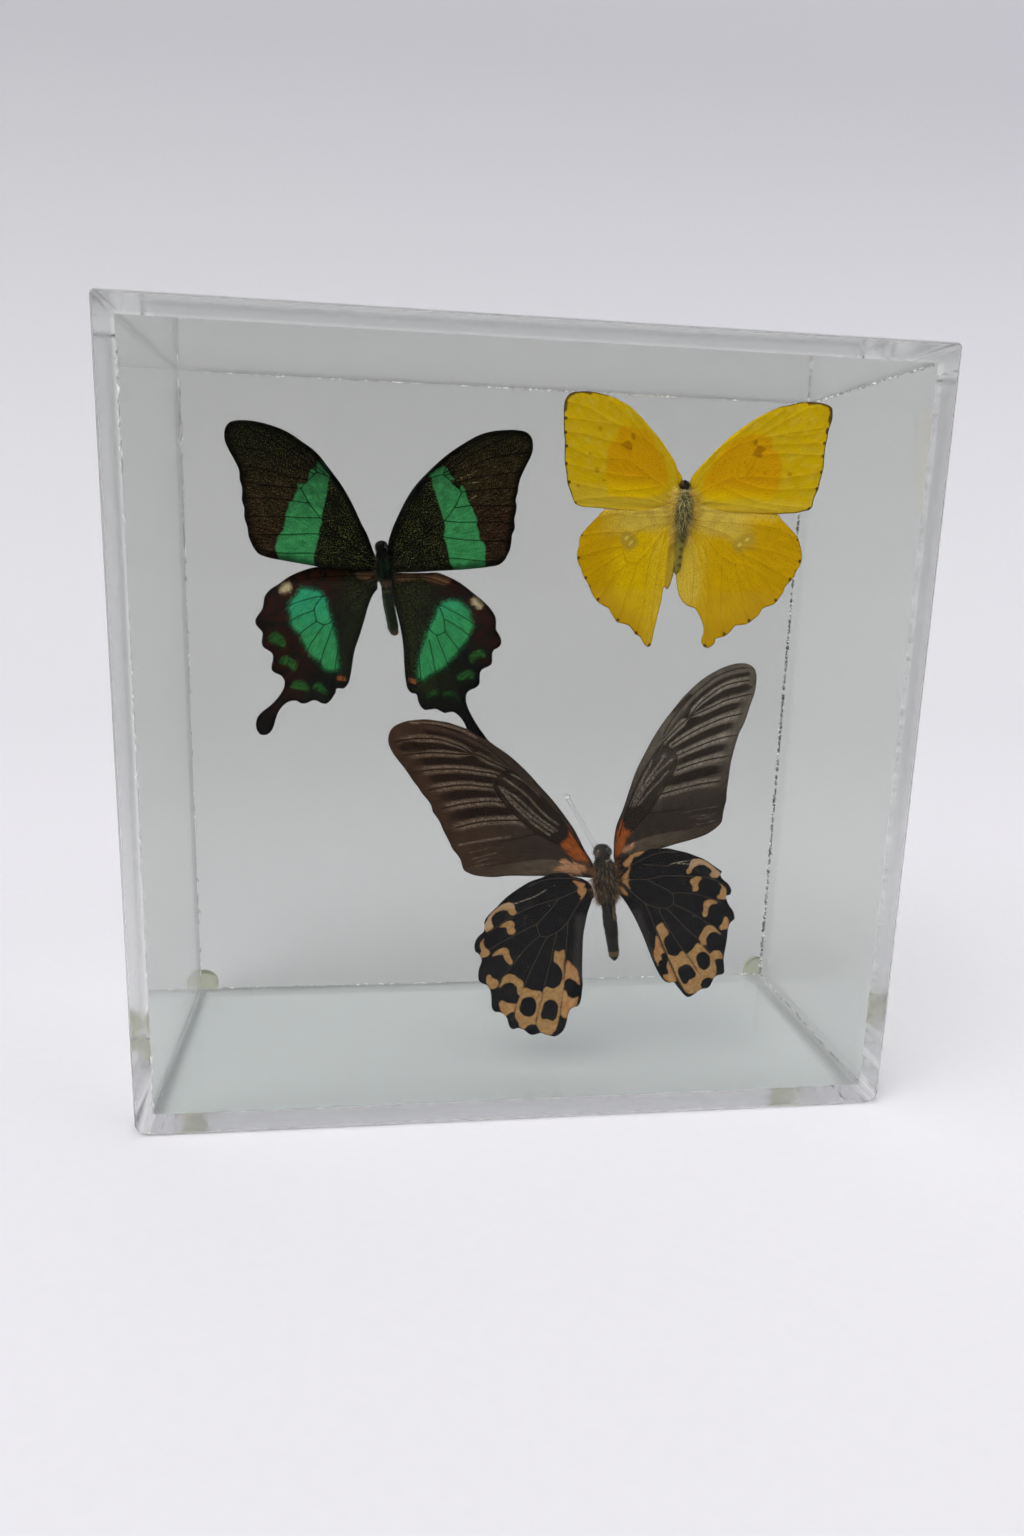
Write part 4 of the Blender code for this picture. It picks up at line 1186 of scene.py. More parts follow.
blackForewingRight = {
    "margin": """
      3.5,3 3.5,3 3.3,5.1 3.5,8.2 4,11.6 5,15.1 7.3,19.3 10.1,25.3 12.7,30.5 15,33.9 17.5,37.4 20,40.5
      23.1,43.7 25.4,45.8 27.7,48 30.2,49.9 32.7,51.6 35,52.8 37.3,53.7 40,54.5 42.7,54.9 45,55
      46.9,54.7 48.5,54.1 49.6,53 50.2,51.4 50.2,50.1 49.9,48.2 49.2,45.8 47.9,43.3 46.6,40.5 45,37.4
      43.8,35.7 42.3,32.4 41.2,29.3 40.2,26.2 39.6,23.9 38.8,20.8 38.3,18.5 38.1,17 37.3,14.9 36.8,13.2
      36.5,11.4 36,10.3 35,9.5 33.5,8.7 31.2,7.8 28.5,7.3 25,6.9 21.5,6.6 18.5,6.3 12,6 7,5""",
    "veins": """
      47.9,53.3 44.9,53.6 42.4,53.3 40,52.9 37.5,52.2 35,50.9 32.9,49.8 30,47.9 27.5,45.8 25,43.6
      23,41.1 21.2,38.6 / 47.9,49.8 44.9,49.8 42.5,49.7 40,49.3 37.5,48.3 35,47 32.5,45.6 30.7,44
      28.9,42.3 27.1,41.1 25,39.7 23,38.2 20.7,36.5 / 48.5,45.8 44.9,45.7 40,45.2 36.1,44.1 32.5,43.2
      28.9,42.3 / 45.1,40.7 40,40.5 35,39.5 30,38.1 26.2,36.7 23.4,35.5 / 42.9,34.9 40,35 35,34.5
      30,33.5 27.5,32.9 24.6,32.2 / 40,29.4 32.7,29.3 27.7,28.7 24,28 / 36.5,22.6 30.8,22.8 25.4,22.6
      20.8,22.2 18.6,22 / 15,17.2 20.8,16.8 24.6,16.6 / 5.5,12 8,18 11,24 14.5,29.5 17.5,33 20.7,36.3 /
      20.8,35.5 22.3,34.9 23.7,33.5 24.4,32 / 24.4,32 23.5,28.5 21.5,25.8 18.5,22 15,17.8 8.8,12.8""",
    "darkStreaks": "47.9,51.6 44.9,51.5 40,50.7 35,48.8 29.8,45.4 / 25,44.9 30,48.3",
    "streaks": """
      9.4,20 13.1,25.8 15.4,29.3 16.9,31.4 / 10.2,20 14.2,25.5 17.7,29.3 21.2,33 / 10.8,20 15.4,25.5
      19.2,28.9 23.1,31.4 / 11.9,20 16.2,23.9 19.2,26.2 21.5,28.2""",
    "scribbles": """
      25,15.5 35,15.5 / 26.5,13.8 34.6,13.4 / 28.8,12.8 33.8,12.6 / 28,11.3 34.6,11.3 / 16,31 17.2,32.2
      / 20,32.6 21.5,33.5""",
    "striped": """
      18,36 22,40.5 28,47.5 35,52.2 42,55.5 50,55 51.5,50 47,39 43,32 40,22 36.5,20.5 30,20.7 25,20.6
      18.3,20.2 18.6,22.2 21.5,26 23.8,28.7 24.5,32 22.3,35 20.9,35.6""",
    "wedge": "33.2,44.7 40,46.7 47.6,48.7 48.8,47.6 47.6,47 40,45.9",
    "cell": """
      5.5,12 8,18 11,24 14.5,29.5 17.5,33 20.7,36.3 22.3,34.9 24.4,32 23.5,28.5 21.5,25.8 18.5,22
      15,17.8 8.8,12.8""",
    "rearStrip": "7.7,8.7 11.5,9.9 15.4,10.4 20,10.5 26.9,10.3 33,10.3 37,10.5 36,7 28,5 8,4",
    "baseOrange": """
      7.1,16.6 6.9,14.7 7.7,13.7 9.2,12.8 7.9,11.2 6.9,9.7 6.2,8.2 4.6,6.2 3.4,5.3 4,8.5 4.8,11.6
      5.4,13.9 6.3,15.5""",
    "salmon": "6.2,7 7.9,7.6 9.2,8.3 9.2,9.1 7.6,8.6 6,7.9",
}
blackHindwingLeft = {
    "margin": """
      3.6,-4.1 3.6,-4.1 4.5,0 6.3,1.6 8.4,2.6 10.2,3.7 11.6,4.25 14.9,4.5 18.25,3.9 20.6,3.4 22.7,2.6
      25.2,1.4 27.7,0 29.9,-1.5 31.3,-2.7 33.1,-4.1 34.3,-5.2 35.2,-6.3 35.6,-7.5 35.7,-8.8 36.1,-9.7
      37.4,-10.6 38.3,-11.5 39,-12.7 39.3,-14.1 39.2,-15.2 38.4,-16 38,-17 37.8,-18.3 38.3,-19.5
      39,-20.9 39.4,-22.7 39.4,-24.3 38.6,-25.2 37.5,-25.8 36.9,-26.8 36.6,-28.1 36.6,-29.5 36.8,-31.3
      36.9,-33.1 36.3,-34.5 34.7,-35 33.6,-35.9 33,-37 32.9,-38.4 32.5,-39.9 31.8,-40.6 30.2,-40.5
      29.4,-40.9 28.4,-41.6 27.7,-42.5 26.6,-43.3 25.2,-43.3 24,-43.1 22.5,-43.9 21.1,-44.4 20.2,-44.7
      18.8,-44.3 17.4,-43.3 16.5,-41.8 15.8,-39.9 15.2,-38.1 14.5,-37.1 13.4,-36.6 12.5,-36.6
      11.8,-36.1 11.1,-34.7 10.6,-32.7 10.1,-30.6 9.9,-27.7 9.6,-24.9 9.2,-21.6 8.7,-18.4 8.1,-15.2
      7.2,-12 6.3,-9.1 5.2,-6.6 4.1,-4.5""",
    "veins": """
      4.5,.9 7.7,1.9 10.6,2.5 13.4,3 16.3,3.2 19.1,2.7 22,1.7 / 6.3,-.9 9.9,-2 13.4,-2.9 17,-3.4 20.6,-4
      24.1,-5 27.7,-6.3 30.6,-7.7 34.9,-10.6 / 13.8,-3.1 15.6,-4.9 17,-6.3 19.1,-8.1 20.9,-9.7 /
      20.9,-9.7 20.75,-11.3 20.4,-13.1 18.4,-13.9 / 5.5,-1.5 7.7,-4.5 9.9,-7.4 12,-10.2 15.2,-12.7
      18.4,-13.9 / 20.9,-9.7 24.1,-10.6 27.7,-12 31.3,-13.4 35.2,-15.2 / 20.4,-13.1 24.1,-15.75 27,-18.4
      30.2,-21.6 33.4,-25.2 34.1,-26.6 / 18.4,-13.9 20.6,-17 22.4,-20.2 24.5,-23.4 26.6,-27.4 28.4,-30.6
      30.2,-34.1 31.5,-38 / 15.6,-13.1 17,-17 18.4,-21.3 19.9,-25.2 21.6,-29.9 23.4,-34.9 25,-39.5 /
      12,-10.4 12.7,-14.1 13.4,-17.7 14.3,-22.4 15,-26.3 15.75,-30.2 16.6,-34.5 17.7,-38.4""",
    "streaks": "17,.1 18.8,-.75 20.6,-1.4 23.4,-2 26.3,-2.6",
    "scribbles": "23.6,-6.6 24.6,-8.8 / 28.4,-5 29.7,-6.6",
    "dust": "14.5,1,.22 16.7,-4.6,.2 17.2,.2,.2 10.3,-18.1,.2 27,-18.4,.2 26.1,-23.4,.2 25,-22.2,.15",
    "peach": """
      26.5,-2.7 27.7,-2 29.5,-2.2 31.3,-3.1 33.1,-4.5 34.3,-5.9 35,-7 35.75,-7.7 35.6,-9 35.3,-9.9
      34.3,-9.5 33.1,-8.6 33.4,-7.4 33.4,-6.3 32.7,-5.2 31.3,-4.3 29.5,-4.1 28.4,-4.5 28.1,-5.6 27,-5.9
      26.1,-5.4 26.5,-4.1 / 31.5,-9 30.6,-8.25 29.1,-7.5 27.7,-7.6 27.1,-8.4 27.4,-9.7 27.1,-10.75
      27.7,-11.6 29,-11.5 29.5,-10.6 29.4,-9.5 30.4,-9.1 / 36.1,-11.8 36.6,-12.7 36.5,-13.8 35.9,-14.9
      35.1,-15.75 35.6,-17 37,-17.4 37.9,-17.6 38,-16.6 37.5,-15.2 37.7,-13.8 37.2,-12.5 / 34.7,-17.6
      34,-16.5 32.5,-15.6 30.6,-15.4 29.9,-15.9 29.8,-17.4 29.5,-18.6 29.1,-19.7 29.7,-20.7 30.6,-20
      31.3,-18.8 31.5,-17.5 32.7,-17.2 34,-17.4 / 36.8,-23 36.1,-22.8 35.5,-24 34.2,-24.7 34,-25.75
      34.7,-27 36.6,-27.2 37.2,-25.9 37.3,-24.7 / 33.9,-27.4 33.25,-25.75 32.2,-24 30.6,-23.4 29.3,-24
      28.1,-25.2 27.2,-26.1 27,-27.4 27.7,-29.1 28.6,-30.5 29.1,-29.5 28.9,-28.25 29.5,-27 30.4,-26.1
      31.6,-26.1 32.9,-26.6 / 34.7,-32 33.6,-31.3 32.4,-32.2 30.9,-32.7 29.9,-32.9 30.4,-34 30.6,-35
      32,-35.4 33.25,-36.1 34.3,-34.9 34.6,-33.4 / 26.8,-28.25 24.9,-29.3 22.2,-30.4 22,-30.9 22.9,-33.4
      23.8,-35.9 24.9,-38.8 25.2,-40 27,-40.1 28.6,-41.2 29.7,-40.4 29.9,-38.8 30.6,-37.4 30.4,-35.6
      29.7,-33.1 28.25,-30.6 / 20.6,-29 18.8,-29.9 17.4,-29.5 16.3,-28.4 15.6,-27 15.6,-24.5 16.5,-22.7
      17.4,-21.6 17.2,-19.9 16.6,-18.4 15.6,-19 14.2,-18.4 14.1,-19.9 14.7,-22.7 15.1,-26.3 15.5,-29.5
      16.3,-32.4 17,-34.9 17.7,-37.7 18.6,-40.6 19.5,-42.7 21.3,-44.1 23.1,-43.4 24.1,-42.7 24.9,-40.9
      24.5,-38.8 23.4,-35.6 22,-32 21.3,-29.5""",
    "pink": """
      26,-1.5 31,-1.5 36,-6 36,-9 34,-9 32,-4.5 28,-3.8 26,-4 / 12.2,-24.8 13.4,-24.4 13,-27.2 12,-27.4""",
    "orange": """
      13.6,-21.9 12.4,-23.6 11.3,-24.9 11,-27 11.1,-30 11.8,-28.8 12.7,-28.1 13.6,-27.5 15,-28.1
      14.7,-25.9 14.3,-23.8 / 15.75,-30.75 15,-31.3 14.5,-33.1 13.4,-33.8 11.9,-33.6 12.2,-34.9
      12.7,-36.5 14.3,-36.8 15.2,-37.9 16,-39.6 17,-39.1 17.4,-38.1 16.8,-35.6 16.3,-33.1 / 10.2,4.1
      8.4,4 6.8,2.6 7.2,2.2 8.8,2.8 9.9,3.5 / 9.3,1.6 7.7,1 5.9,-.2 6.3,-.75 5.75,-1.3 7.7,-4.3 7.5,-3.1
      8.1,-2.4 8.25,-1.5 7.9,-.9 8.4,.3""",
    "ovals": """
      26.5,-31.3 24.9,-31.6 24.1,-33.1 24.3,-35.2 25.2,-37 26.6,-37.5 27.9,-37 29.1,-34.9 28.6,-33.1
      27.7,-31.6 / 20.2,-33.1 18.8,-33.6 18,-34.9 18.25,-37.4 19.1,-39.3 19.9,-40 21.3,-39.1 22.9,-38.8
      23.25,-37.4 22.5,-35.6 21.5,-33.6 / 15,-28.1 13.8,-27.5 12.4,-28.8 11.3,-29.9 11.1,-31.6 12,-33.6
      13.4,-33.6 14.7,-32.4 15,-30.6 15.2,-29.1 / 28.5,-41.5 27.4,-40.2 25.2,-40.3 24.3,-41.8 24.3,-43.5
      27,-43.5""",
    "innerStrip": "7.6,-9 9.2,-9 10.3,-14 11.4,-20 12,-28 9.6,-29 8.5,-22 8,-16 6.5,-10",
}
blackHindwingRight = {
    "margin": """
      2.7,-4.1 2.7,-4.1 3.2,1.8 4.3,4.3 6.1,5.7 8.2,6.4 10,6.6 12,6.7 14.3,6.9 16.8,6.6 18.6,6.25
      20.7,5.5 22.9,4.6 25,3.6 26.8,2.5 28.9,1.25 30.7,-.2 32.1,-1.6 33.6,-3 34.4,-3.9 33.9,-4.5
      34.1,-5.5 35.2,-7 36.1,-8 36.6,-9.1 36.9,-10.4 36.4,-11.4 35.2,-11.6 35.2,-12.9 35.7,-14.6
      36.6,-16.1 37.1,-17.7 37,-19.3 35.9,-19.9 35.2,-20.9 34.6,-22.5 34.4,-23.9 33.75,-26.1 33,-28.6
      32.6,-31.1 32.6,-33.6 32.25,-35.2 31.4,-35.4 30.2,-35.3 29.1,-35.9 28.4,-36.8 27.7,-38 26.6,-38.6
      25,-38.5 23.6,-39.1 22.1,-40 20.5,-40.3 19.6,-39.5 18.6,-37.9 17.5,-36.1 16.6,-34.6 15.2,-34.4
      13.9,-33.6 12.7,-31.6 11.8,-29.3 10.9,-26.4 10.2,-23.6 9.5,-20.7 8.6,-17.1 7.5,-13.6 6.4,-10.7
      5,-7.5 3.6,-5""",
    "veins": """
      3.2,.4 5,2.3 7.5,3.2 9.6,3.9 12.1,4.7 15,5.2 18.6,5.2 21.4,4.6 / 11.1,2.9 14.3,2.1 17.1,1.25
      18.9,1 / 3.6,-.2 7.1,-.9 12.1,-1.7 16.1,-1.6 20.4,-2.3 25.7,-3.6 28.6,-4.3 33.5,-6.8 / 12.1,-2.1
      14.3,-3.75 16.8,-5.5 18.75,-7.3 / 18.75,-7.3 19.1,-8.9 18.6,-10.7 16.8,-11.5 / 3.6,-1.8 5.7,-3.2
      7.9,-5.7 10.5,-8.6 14.3,-10.9 16.8,-11.5 / 18.75,-7.3 21.4,-7.7 24.3,-8.4 27.1,-9.6 30.7,-11.4
      33.6,-13.2 / 19.1,-10.7 21.4,-12.5 24.3,-14.6 27.1,-17.1 30.4,-20 32.3,-23 / 16.8,-11.5
      19.6,-15.4 22.1,-18.9 25.4,-23 27.5,-26.1 29.6,-30 / 14.3,-11.1 15.4,-14.6 17.1,-18.6 19.3,-23.2
      21.4,-27.1 23.6,-31.4 25.5,-35.7 / 10.5,-8.75 11.8,-12.9 13,-18.2 14.6,-23.2 16.1,-28.6
      17.5,-33.2 19.3,-37.5""",
    "streaks": "18.9,1.25 21.1,1.6 23.2,1.4 25.7,1.25 / 21.4,1.1 24.6,.4",
    "scribbles": "22.4,-4.6 23.1,-5.6 / 26.4,-1.1 27.6,-2.6",
    "dust": "16.8,-.5,.2 10.9,-17.9,.2 24.5,-15.6,.2 8,-14.2,.2 25.1,-20,.2",
    "peach": """
      25,.5 25.7,1.4 27.5,1.4 29.6,.4 31.4,-1.25 32.9,-3 33.9,-4.1 33.4,-5.2 32.3,-5.4 30.7,-4.5
      30.6,-4 31.4,-3.2 30.7,-2 29.3,-.9 27.5,-.5 26.25,-.9 25.4,-1.6 25,-2.4 23.75,-2.3 23.6,-1.6
      24.5,-.7 / 24.6,-4.6 25.7,-3.9 27.3,-3.9 28.2,-4.5 27.3,-5.4 26.8,-6.4 26.9,-7.7 26.1,-8.2
      25,-7.9 25.2,-6.4 24.6,-5.4 / 33,-7 34.1,-7.9 35.2,-9.3 35.2,-11.4 35.2,-12.3 33.6,-12.2
      32.3,-11.4 32.3,-10.9 33.2,-10.7 33.4,-9.6 34.1,-8.6 33.6,-7.7 / 28.2,-11.8 29.6,-11.5 31.1,-12
      32.3,-13.2 30.7,-13.1 29.6,-13.75 29.1,-15.2 28.6,-16.4 28,-16.6 27.2,-15.5 27.8,-14.3 27.9,-12.9
      / 34.1,-17.7 34.7,-18 35.2,-19.6 34.8,-21.8 33.6,-21.6 32.5,-21.6 32.1,-20.5 33,-19.8 33.6,-18.75
      / 25.6,-22.3 26.6,-21.1 27.7,-19.6 29.1,-19.3 30.4,-20 31.4,-21.4 32.3,-22.9 31.1,-22 29.6,-21.6
      28.4,-22.3 27.7,-23.6 27.5,-25.2 26.4,-24.5 25.7,-23.4 / 28.75,-27.9 30.4,-27.5 31.6,-28 32.3,-30
      32.3,-30.7 31.1,-30.2 30,-30.4 / 21.6,-26.8 23.2,-25.7 25,-24.1 25.8,-24.5 27.1,-26.4 28.6,-28.6
      29.9,-31.1 30,-32.9 29.7,-35 28.6,-36.1 27.5,-35.5 25.5,-35.9 24.6,-33.6 23.2,-30 22.1,-28 /
      15.4,-25.2 16.6,-26.1 18.4,-26.6 20,-25.4 20.9,-26.4 22.1,-28.75 23.75,-32.1 25.2,-35.2
      25.5,-36.4 24.6,-37.1 25,-38.2 23.2,-39.2 21.8,-39.5 20.2,-38.75 19.3,-36.8 18,-33.6 17,-30.4
      16.1,-27.5 / 13.2,-16.4 14.1,-15.9 15,-15.5 15.5,-16.8 16.4,-18.2 16.5,-19.5 15.5,-20.2
      14.9,-21.4 15.2,-23.2 15.7,-25.2 15.2,-24.3 14.3,-21.1 13.6,-18.6""",
    "pink": "23,-.5 24,1.8 28,2 32,-1 34.4,-4 33,-6 31,-3.5 29,-1 25.5,-1.2",
    "orange": """
      12.9,-19.3 13.75,-21.4 14.3,-23.6 14.8,-24.8 13.75,-25.2 13.75,-27.1 12.9,-27.1 12.7,-28.6
      12,-27.1 11.6,-24.3 12.3,-22.5 12.5,-20.4 / 15.4,-27.5 16.1,-29.6 17.1,-32.5 17.4,-34.6
      16.25,-34.6 15,-34.1 13.75,-31.6 15.2,-31.7 14.9,-29.6 / 8.4,6.6 12,6.6 10.4,5.7 8.75,5.4 8,4.3
      7.1,3.2 5.9,3.2 5.5,3.9 6.8,5.4 / 7.7,2.7 6.8,1.1 6.4,-.4 4.5,-.2 5.7,1.1 / 4.6,-.9 6.8,-.9
      6.25,-2 6.8,-3.75 5.7,-2.5 / 3.6,-2.2 4.3,-2.6 5.7,-5.5 5.2,-5.3""",
    "ovals": """
      24.6,-27.5 25.9,-27 27.3,-27.5 28.4,-29.3 28.4,-30.7 27.5,-32.5 26.4,-32.9 25.2,-32.1 24.3,-30
      24.1,-28.6 / 19.6,-30 21.1,-29.8 22.3,-30.7 23.2,-32.3 23.6,-33.4 23,-34.5 21.4,-34.8 20.4,-36.1
      19.6,-35.7 18.6,-33.6 18.2,-31.4 18.6,-30.4 / 13.9,-25.2 15.4,-25.4 15.5,-27.5 15,-29.3
      15.2,-31.6 13.9,-31.25 12.9,-29.6 12.9,-27.3 13.75,-27 / 24.8,-37.5 25.5,-35.7 27.5,-35.5
      28.4,-36.25 27.7,-38 26.3,-38.6 25,-38.2""",
    "innerStrip": "6.8,-10 8.3,-10 9.8,-15 11,-21 12,-27 10.4,-28 9,-19 7.2,-13",
}


# Wing colours, as they show through the front of the case

greenColours = {
    "ground": (10, 13, 7), "dust": (78, 80, 44), "innerDust": (64, 72, 30), "tip": (7, 8, 5),
    "outer": (24, 18, 11), "outerStreak": (60, 46, 36), "rust": (25, 10, 7), "dark": (8, 4, 4),
    "bandDeep": (36, 76, 48), "bandBright": (48, 112, 66), "patchDeep": (42, 116, 68),
    "patchBright": (38, 124, 90), "lunule": (14, 30, 15), "lunuleBright": (42, 92, 40),
    "orange": (110, 62, 34), "salmon": (92, 68, 50), "maroon": (38, 17, 12), "pale": (158, 142, 112),
    "scratch": (120, 108, 84), "underside": (70, 54, 40),
}
yellowColours = {
    "lemon": (170, 140, 4), "cream": (174, 150, 46), "orange": (172, 126, 0), "gold": (188, 154, 2),
    "amber": (172, 134, 0), "vein": (138, 102, 6), "brown": (120, 80, 6), "dark": (56, 38, 20),
    "down": (176, 152, 66), "ring": (176, 157, 80), "ringed": (176, 154, 50), "olive": (144, 120, 44),
    "beige": (178, 154, 64), "mauve": (152, 126, 56), "fold": (188, 162, 50), "tan": (154, 128, 40),
    "underside": (180, 150, 40),
}
blackColours = {
    "ground": (45, 39, 35), "stripe": (29, 25, 22), "streak": (104, 94, 84), "rustGround": (53, 38, 29),
    "rustStripe": (31, 21, 16), "rustStreak": (110, 92, 77), "rear": (76, 66, 56),
    "greyGround": (80, 74, 66), "greyStreak": (128, 118, 107), "orange": (140, 72, 34),
    "salmon": (160, 122, 92), "velvet": (25, 25, 27), "peach": (148, 118, 80),
    "peachDeep": (132, 98, 62), "pink": (150, 124, 100), "cellOrange": (144, 94, 58),
    "vein": (66, 58, 50), "inner": (46, 43, 42), "white": (158, 144, 130), "dust": (128, 122, 116),
    "underside": (60, 50, 44),
}
scales = {
    "specks": 2.7,            # grains in a mm
    "rows": (46.0, 0.3),      # across and along the fan from the root
    "patches": 0.3,
    "relief": 0.00003,        # metres
    "dull": 0.55,             # share of the underside's own colour there
}


def wingPaint(name, side, colours):
    return Paint(name + side.capitalize(), colours, Specular_IOR_Level=0.05)


def finishWing(paint, grain, gloss):
    # scales: specks of light and dark, rows of them fanning out, and a duller underside
    fine = paint.noise(scales["specks"], 2.0, 0.75)
    rows = paint.strands(*scales["rows"], 3.0, 0.65)
    patchy = paint.noise(scales["patches"], 3.0, 0.6)
    for amount, share in ((fine, 1.0), (rows, 0.75), (patchy, 0.4)):
        low, high = grey(1.0 - grain * share), grey(1.0 + grain * share)
        spread = paint.mix(paint.step(amount, 0.32, 0.68), low, high)
        paint.colour = paint.multiply(paint.colour, spread)
    paint.over(paint.read("under"), "underside", scales["dull"])
    paint.give("Base Color", paint.colour)
    paint.give("Roughness", paint.noise(1.4, 3.0) * 0.2 + (gloss - 0.1))
    paint.bump(fine * 0.5 + rows, scales["relief"], 0.6)
    return paint.material


def dusted(paint, name, reach):
    # scales that thin out over some mm outside a mark's edge
    nearer = paint.step(name, -reach, 1.0)
    return paint.step(paint.noise(2.5, 3.0, 0.75) + nearer * 0.28, 0.66, 0.73)


def frayed(paint, name, reach, across=24.0):
    # a mark whose edge runs out in hairs from the root
    strands = paint.strands(across, 0.35, 4.0, 0.7)
    wander = (strands - 0.5) * (5.0 * reach)
    return paint.step(paint.read(name) + wander, -0.6, 0.6)


def goldDust(paint, grain=2.6):
    return paint.step(paint.noise(grain, 3.0, 0.8), 0.52, 0.61)


def paintGreenForewing(side):
    paint = wingPaint("greenForewingScales", side, greenColours)
    up = paint.apart(paint.plane())["Y"]
    dust = goldDust(paint)
    thick = paint.step(paint.noise(0.22, 3.0, 0.6), 0.30, 0.62)
    paint.colour = paint.mix(dust * (thick * 0.6 + 0.25), "ground", "dust")
    rays = paint.strands(60.0, 0.35, 4.0, 0.7)
    low = paint.step(up, 34.0, 16.0)
    streaks = paint.step(rays, 0.44, 0.66) * (low * 0.4 + 0.1)
    brown = paint.mix(paint.step(up, 20.0, 8.0), paint.mix(low, "tip", "outer"), "rust")
    brown = paint.mix(streaks, brown, "outerStreak")
    brown = paint.mix(dust * 0.42, brown, "dust")
    paint.over(paint.mark("outer", 0.7, 0.5), brown)
    glow = paint.noise(0.45, 3.0, 0.55) * 0.8 + paint.step(up, 26.0, 6.0) * 0.35
    green = paint.mix(paint.step(glow, 0.30, 0.80), "bandDeep", "bandBright")
    paint.over(dusted(paint, "band", 0.9), green, 0.7)
    paint.over(paint.mark("band", 0.3, 0.3, 1.6), green)
    paint.over(paint.mark("costalGreen", 0.3), "bandDeep", 0.6)
    paint.over(paint.vein(0.16), "dark", 0.8)
    edge = paint.step(paint.read("rimAway") + paint.noise(0.5) * -2.2, 1.2, -0.6)
    paint.over(edge, "dark", 0.75)
    if side == "right":
        scratch = paint.step("scribbleAway", 0.24, 0.06)
        broken = paint.step(paint.noise(1.2), 0.42, 0.6)
        paint.over(scratch * (broken * 0.7), "scratch")
    return finishWing(paint, 0.24, 0.56)


def paintGreenHindwing(side):
    paint = wingPaint("greenHindwingScales", side, greenColours)
    dust = goldDust(paint, 2.5)
    place = paint.apart(paint.plane())
    inner = paint.step(place["X"], 22.0, 6.0)
    paint.colour = paint.mix(dust * (inner * 0.75 + 0.1), "ground", "innerDust")
    shade = paint.step(paint.noise(0.45, 3.0, 0.5), 0.34, 0.58)
    outer = paint.step(place["X"] + place["Y"] * 0.5, 6.0, 13.0)
    paint.over(shade * outer, "maroon", 0.85)
    glow = paint.step(paint.noise(0.5, 3.0, 0.55) + place["Y"] * 0.05, -0.6, 0.2)
    green = paint.mix(glow, "patchDeep", "patchBright")
    paint.over(dusted(paint, "patch", 2.8), green, 0.7)
    paint.over(paint.mark("patch", 0.35, 0.35, 1.6), green)
    flecks = paint.step(paint.noise(1.8, 3.0, 0.7), 0.46, 0.56)
    crescent = paint.mix(flecks, "lunule", "lunuleBright")
    paint.over(dusted(paint, "lunules", 1.2), crescent, 0.6)
    paint.over(paint.mark("lunules", 0.5, 0.5, 1.4), crescent, 0.9)
    strip = paint.step(paint.ragged("salmon", 0.9, 0.5), -1.1, 0.9)
    paint.over(strip, "salmon", 0.7)
    paint.over(paint.mark("orange", 0.3, 0.3, 2.0), "orange")
    paint.over(paint.mark("eye", 0.3, 0.2, 2.0), "dark")
    paint.over(paint.vein(0.15), "dark", 0.8)
    tail = paint.step(place["Y"], -37.0, -40.0)
    paint.over(tail, "dark", 0.8)
    halo = paint.step("pale", -2.2, -0.2)
    paint.over(halo, "maroon", 0.5)
    tuft = (paint.noise(1.5, 3.0, 0.7) - 0.5) * 2.4
    paint.over(paint.step(paint.read("pale") + tuft, -1.0, 0.7), "pale")
    edge = paint.step(paint.read("rimAway") + paint.noise(0.6) * -1.6, 0.9, -0.5)
    paint.over(edge, "dark", 0.7)
    return finishWing(paint, 0.24, 0.56)


def freckled(paint, scale, low, high):
    return paint.step(paint.noise(scale, 2.0, 0.6), low, high)


def paintYellowForewing(side):
    paint = wingPaint("yellowForewingScales", side, yellowColours)
    place = paint.apart(paint.plane())
    up = place["Y"]
    worn = paint.step(paint.noise(0.4, 4.0, 0.6), 0.40, 0.75) * 0.7
    paint.colour = paint.mix(worn, "lemon", "cream")
    paint.over(paint.step(up, 6.0, 1.0), "cream", 0.7)
    patch = paint.step(paint.ragged("orange", 0.7, 0.9), -0.2, 0.9)
    warm = paint.mix(paint.step(up, 9.0, 3.0), "orange", "gold")
    paint.over(patch, warm)
    rays = paint.step(paint.strands(44.0, 0.15, 3.0, 0.6), 0.3, 0.7)
    paint.over(rays, "vein", 0.2)
    paint.over(paint.vein(0.10), "vein", 0.36)
    fromBody = paint.length(paint.plane())
    downy = paint.step(fromBody + paint.noise(0.7, 3.0) * 4.0, 9.5, 4.5)
    paint.over(downy, "down", 0.55)
    dots = freckled(paint, 1.9, 0.60, 0.66) * (patch * 0.4 + 0.2)
    paint.over(dots, "brown")
    paint.over(paint.mark("freckles", 0.25, 0.35, 2.2), "brown", 0.5)
    paint.over(paint.mark("spots", 0.25, 0.25, 2.2), "brown", 0.7)
    paint.over(paint.step("dots", -0.32, 0.0), "dark", 0.9)
    paint.over(paint.mark("apex", 0.25, 0.45, 1.8), "dark", 0.85)
    edge = paint.step(paint.read("rimAway") + paint.noise(1.2) * -0.5, 0.22, -0.12)
    edge = edge * (paint.step(place["X"], 18.0, 28.0) * paint.step(up, -1.0, 3.0))
    paint.over(edge, "dark", 0.85)
    return finishWing(paint, 0.06, 0.66)


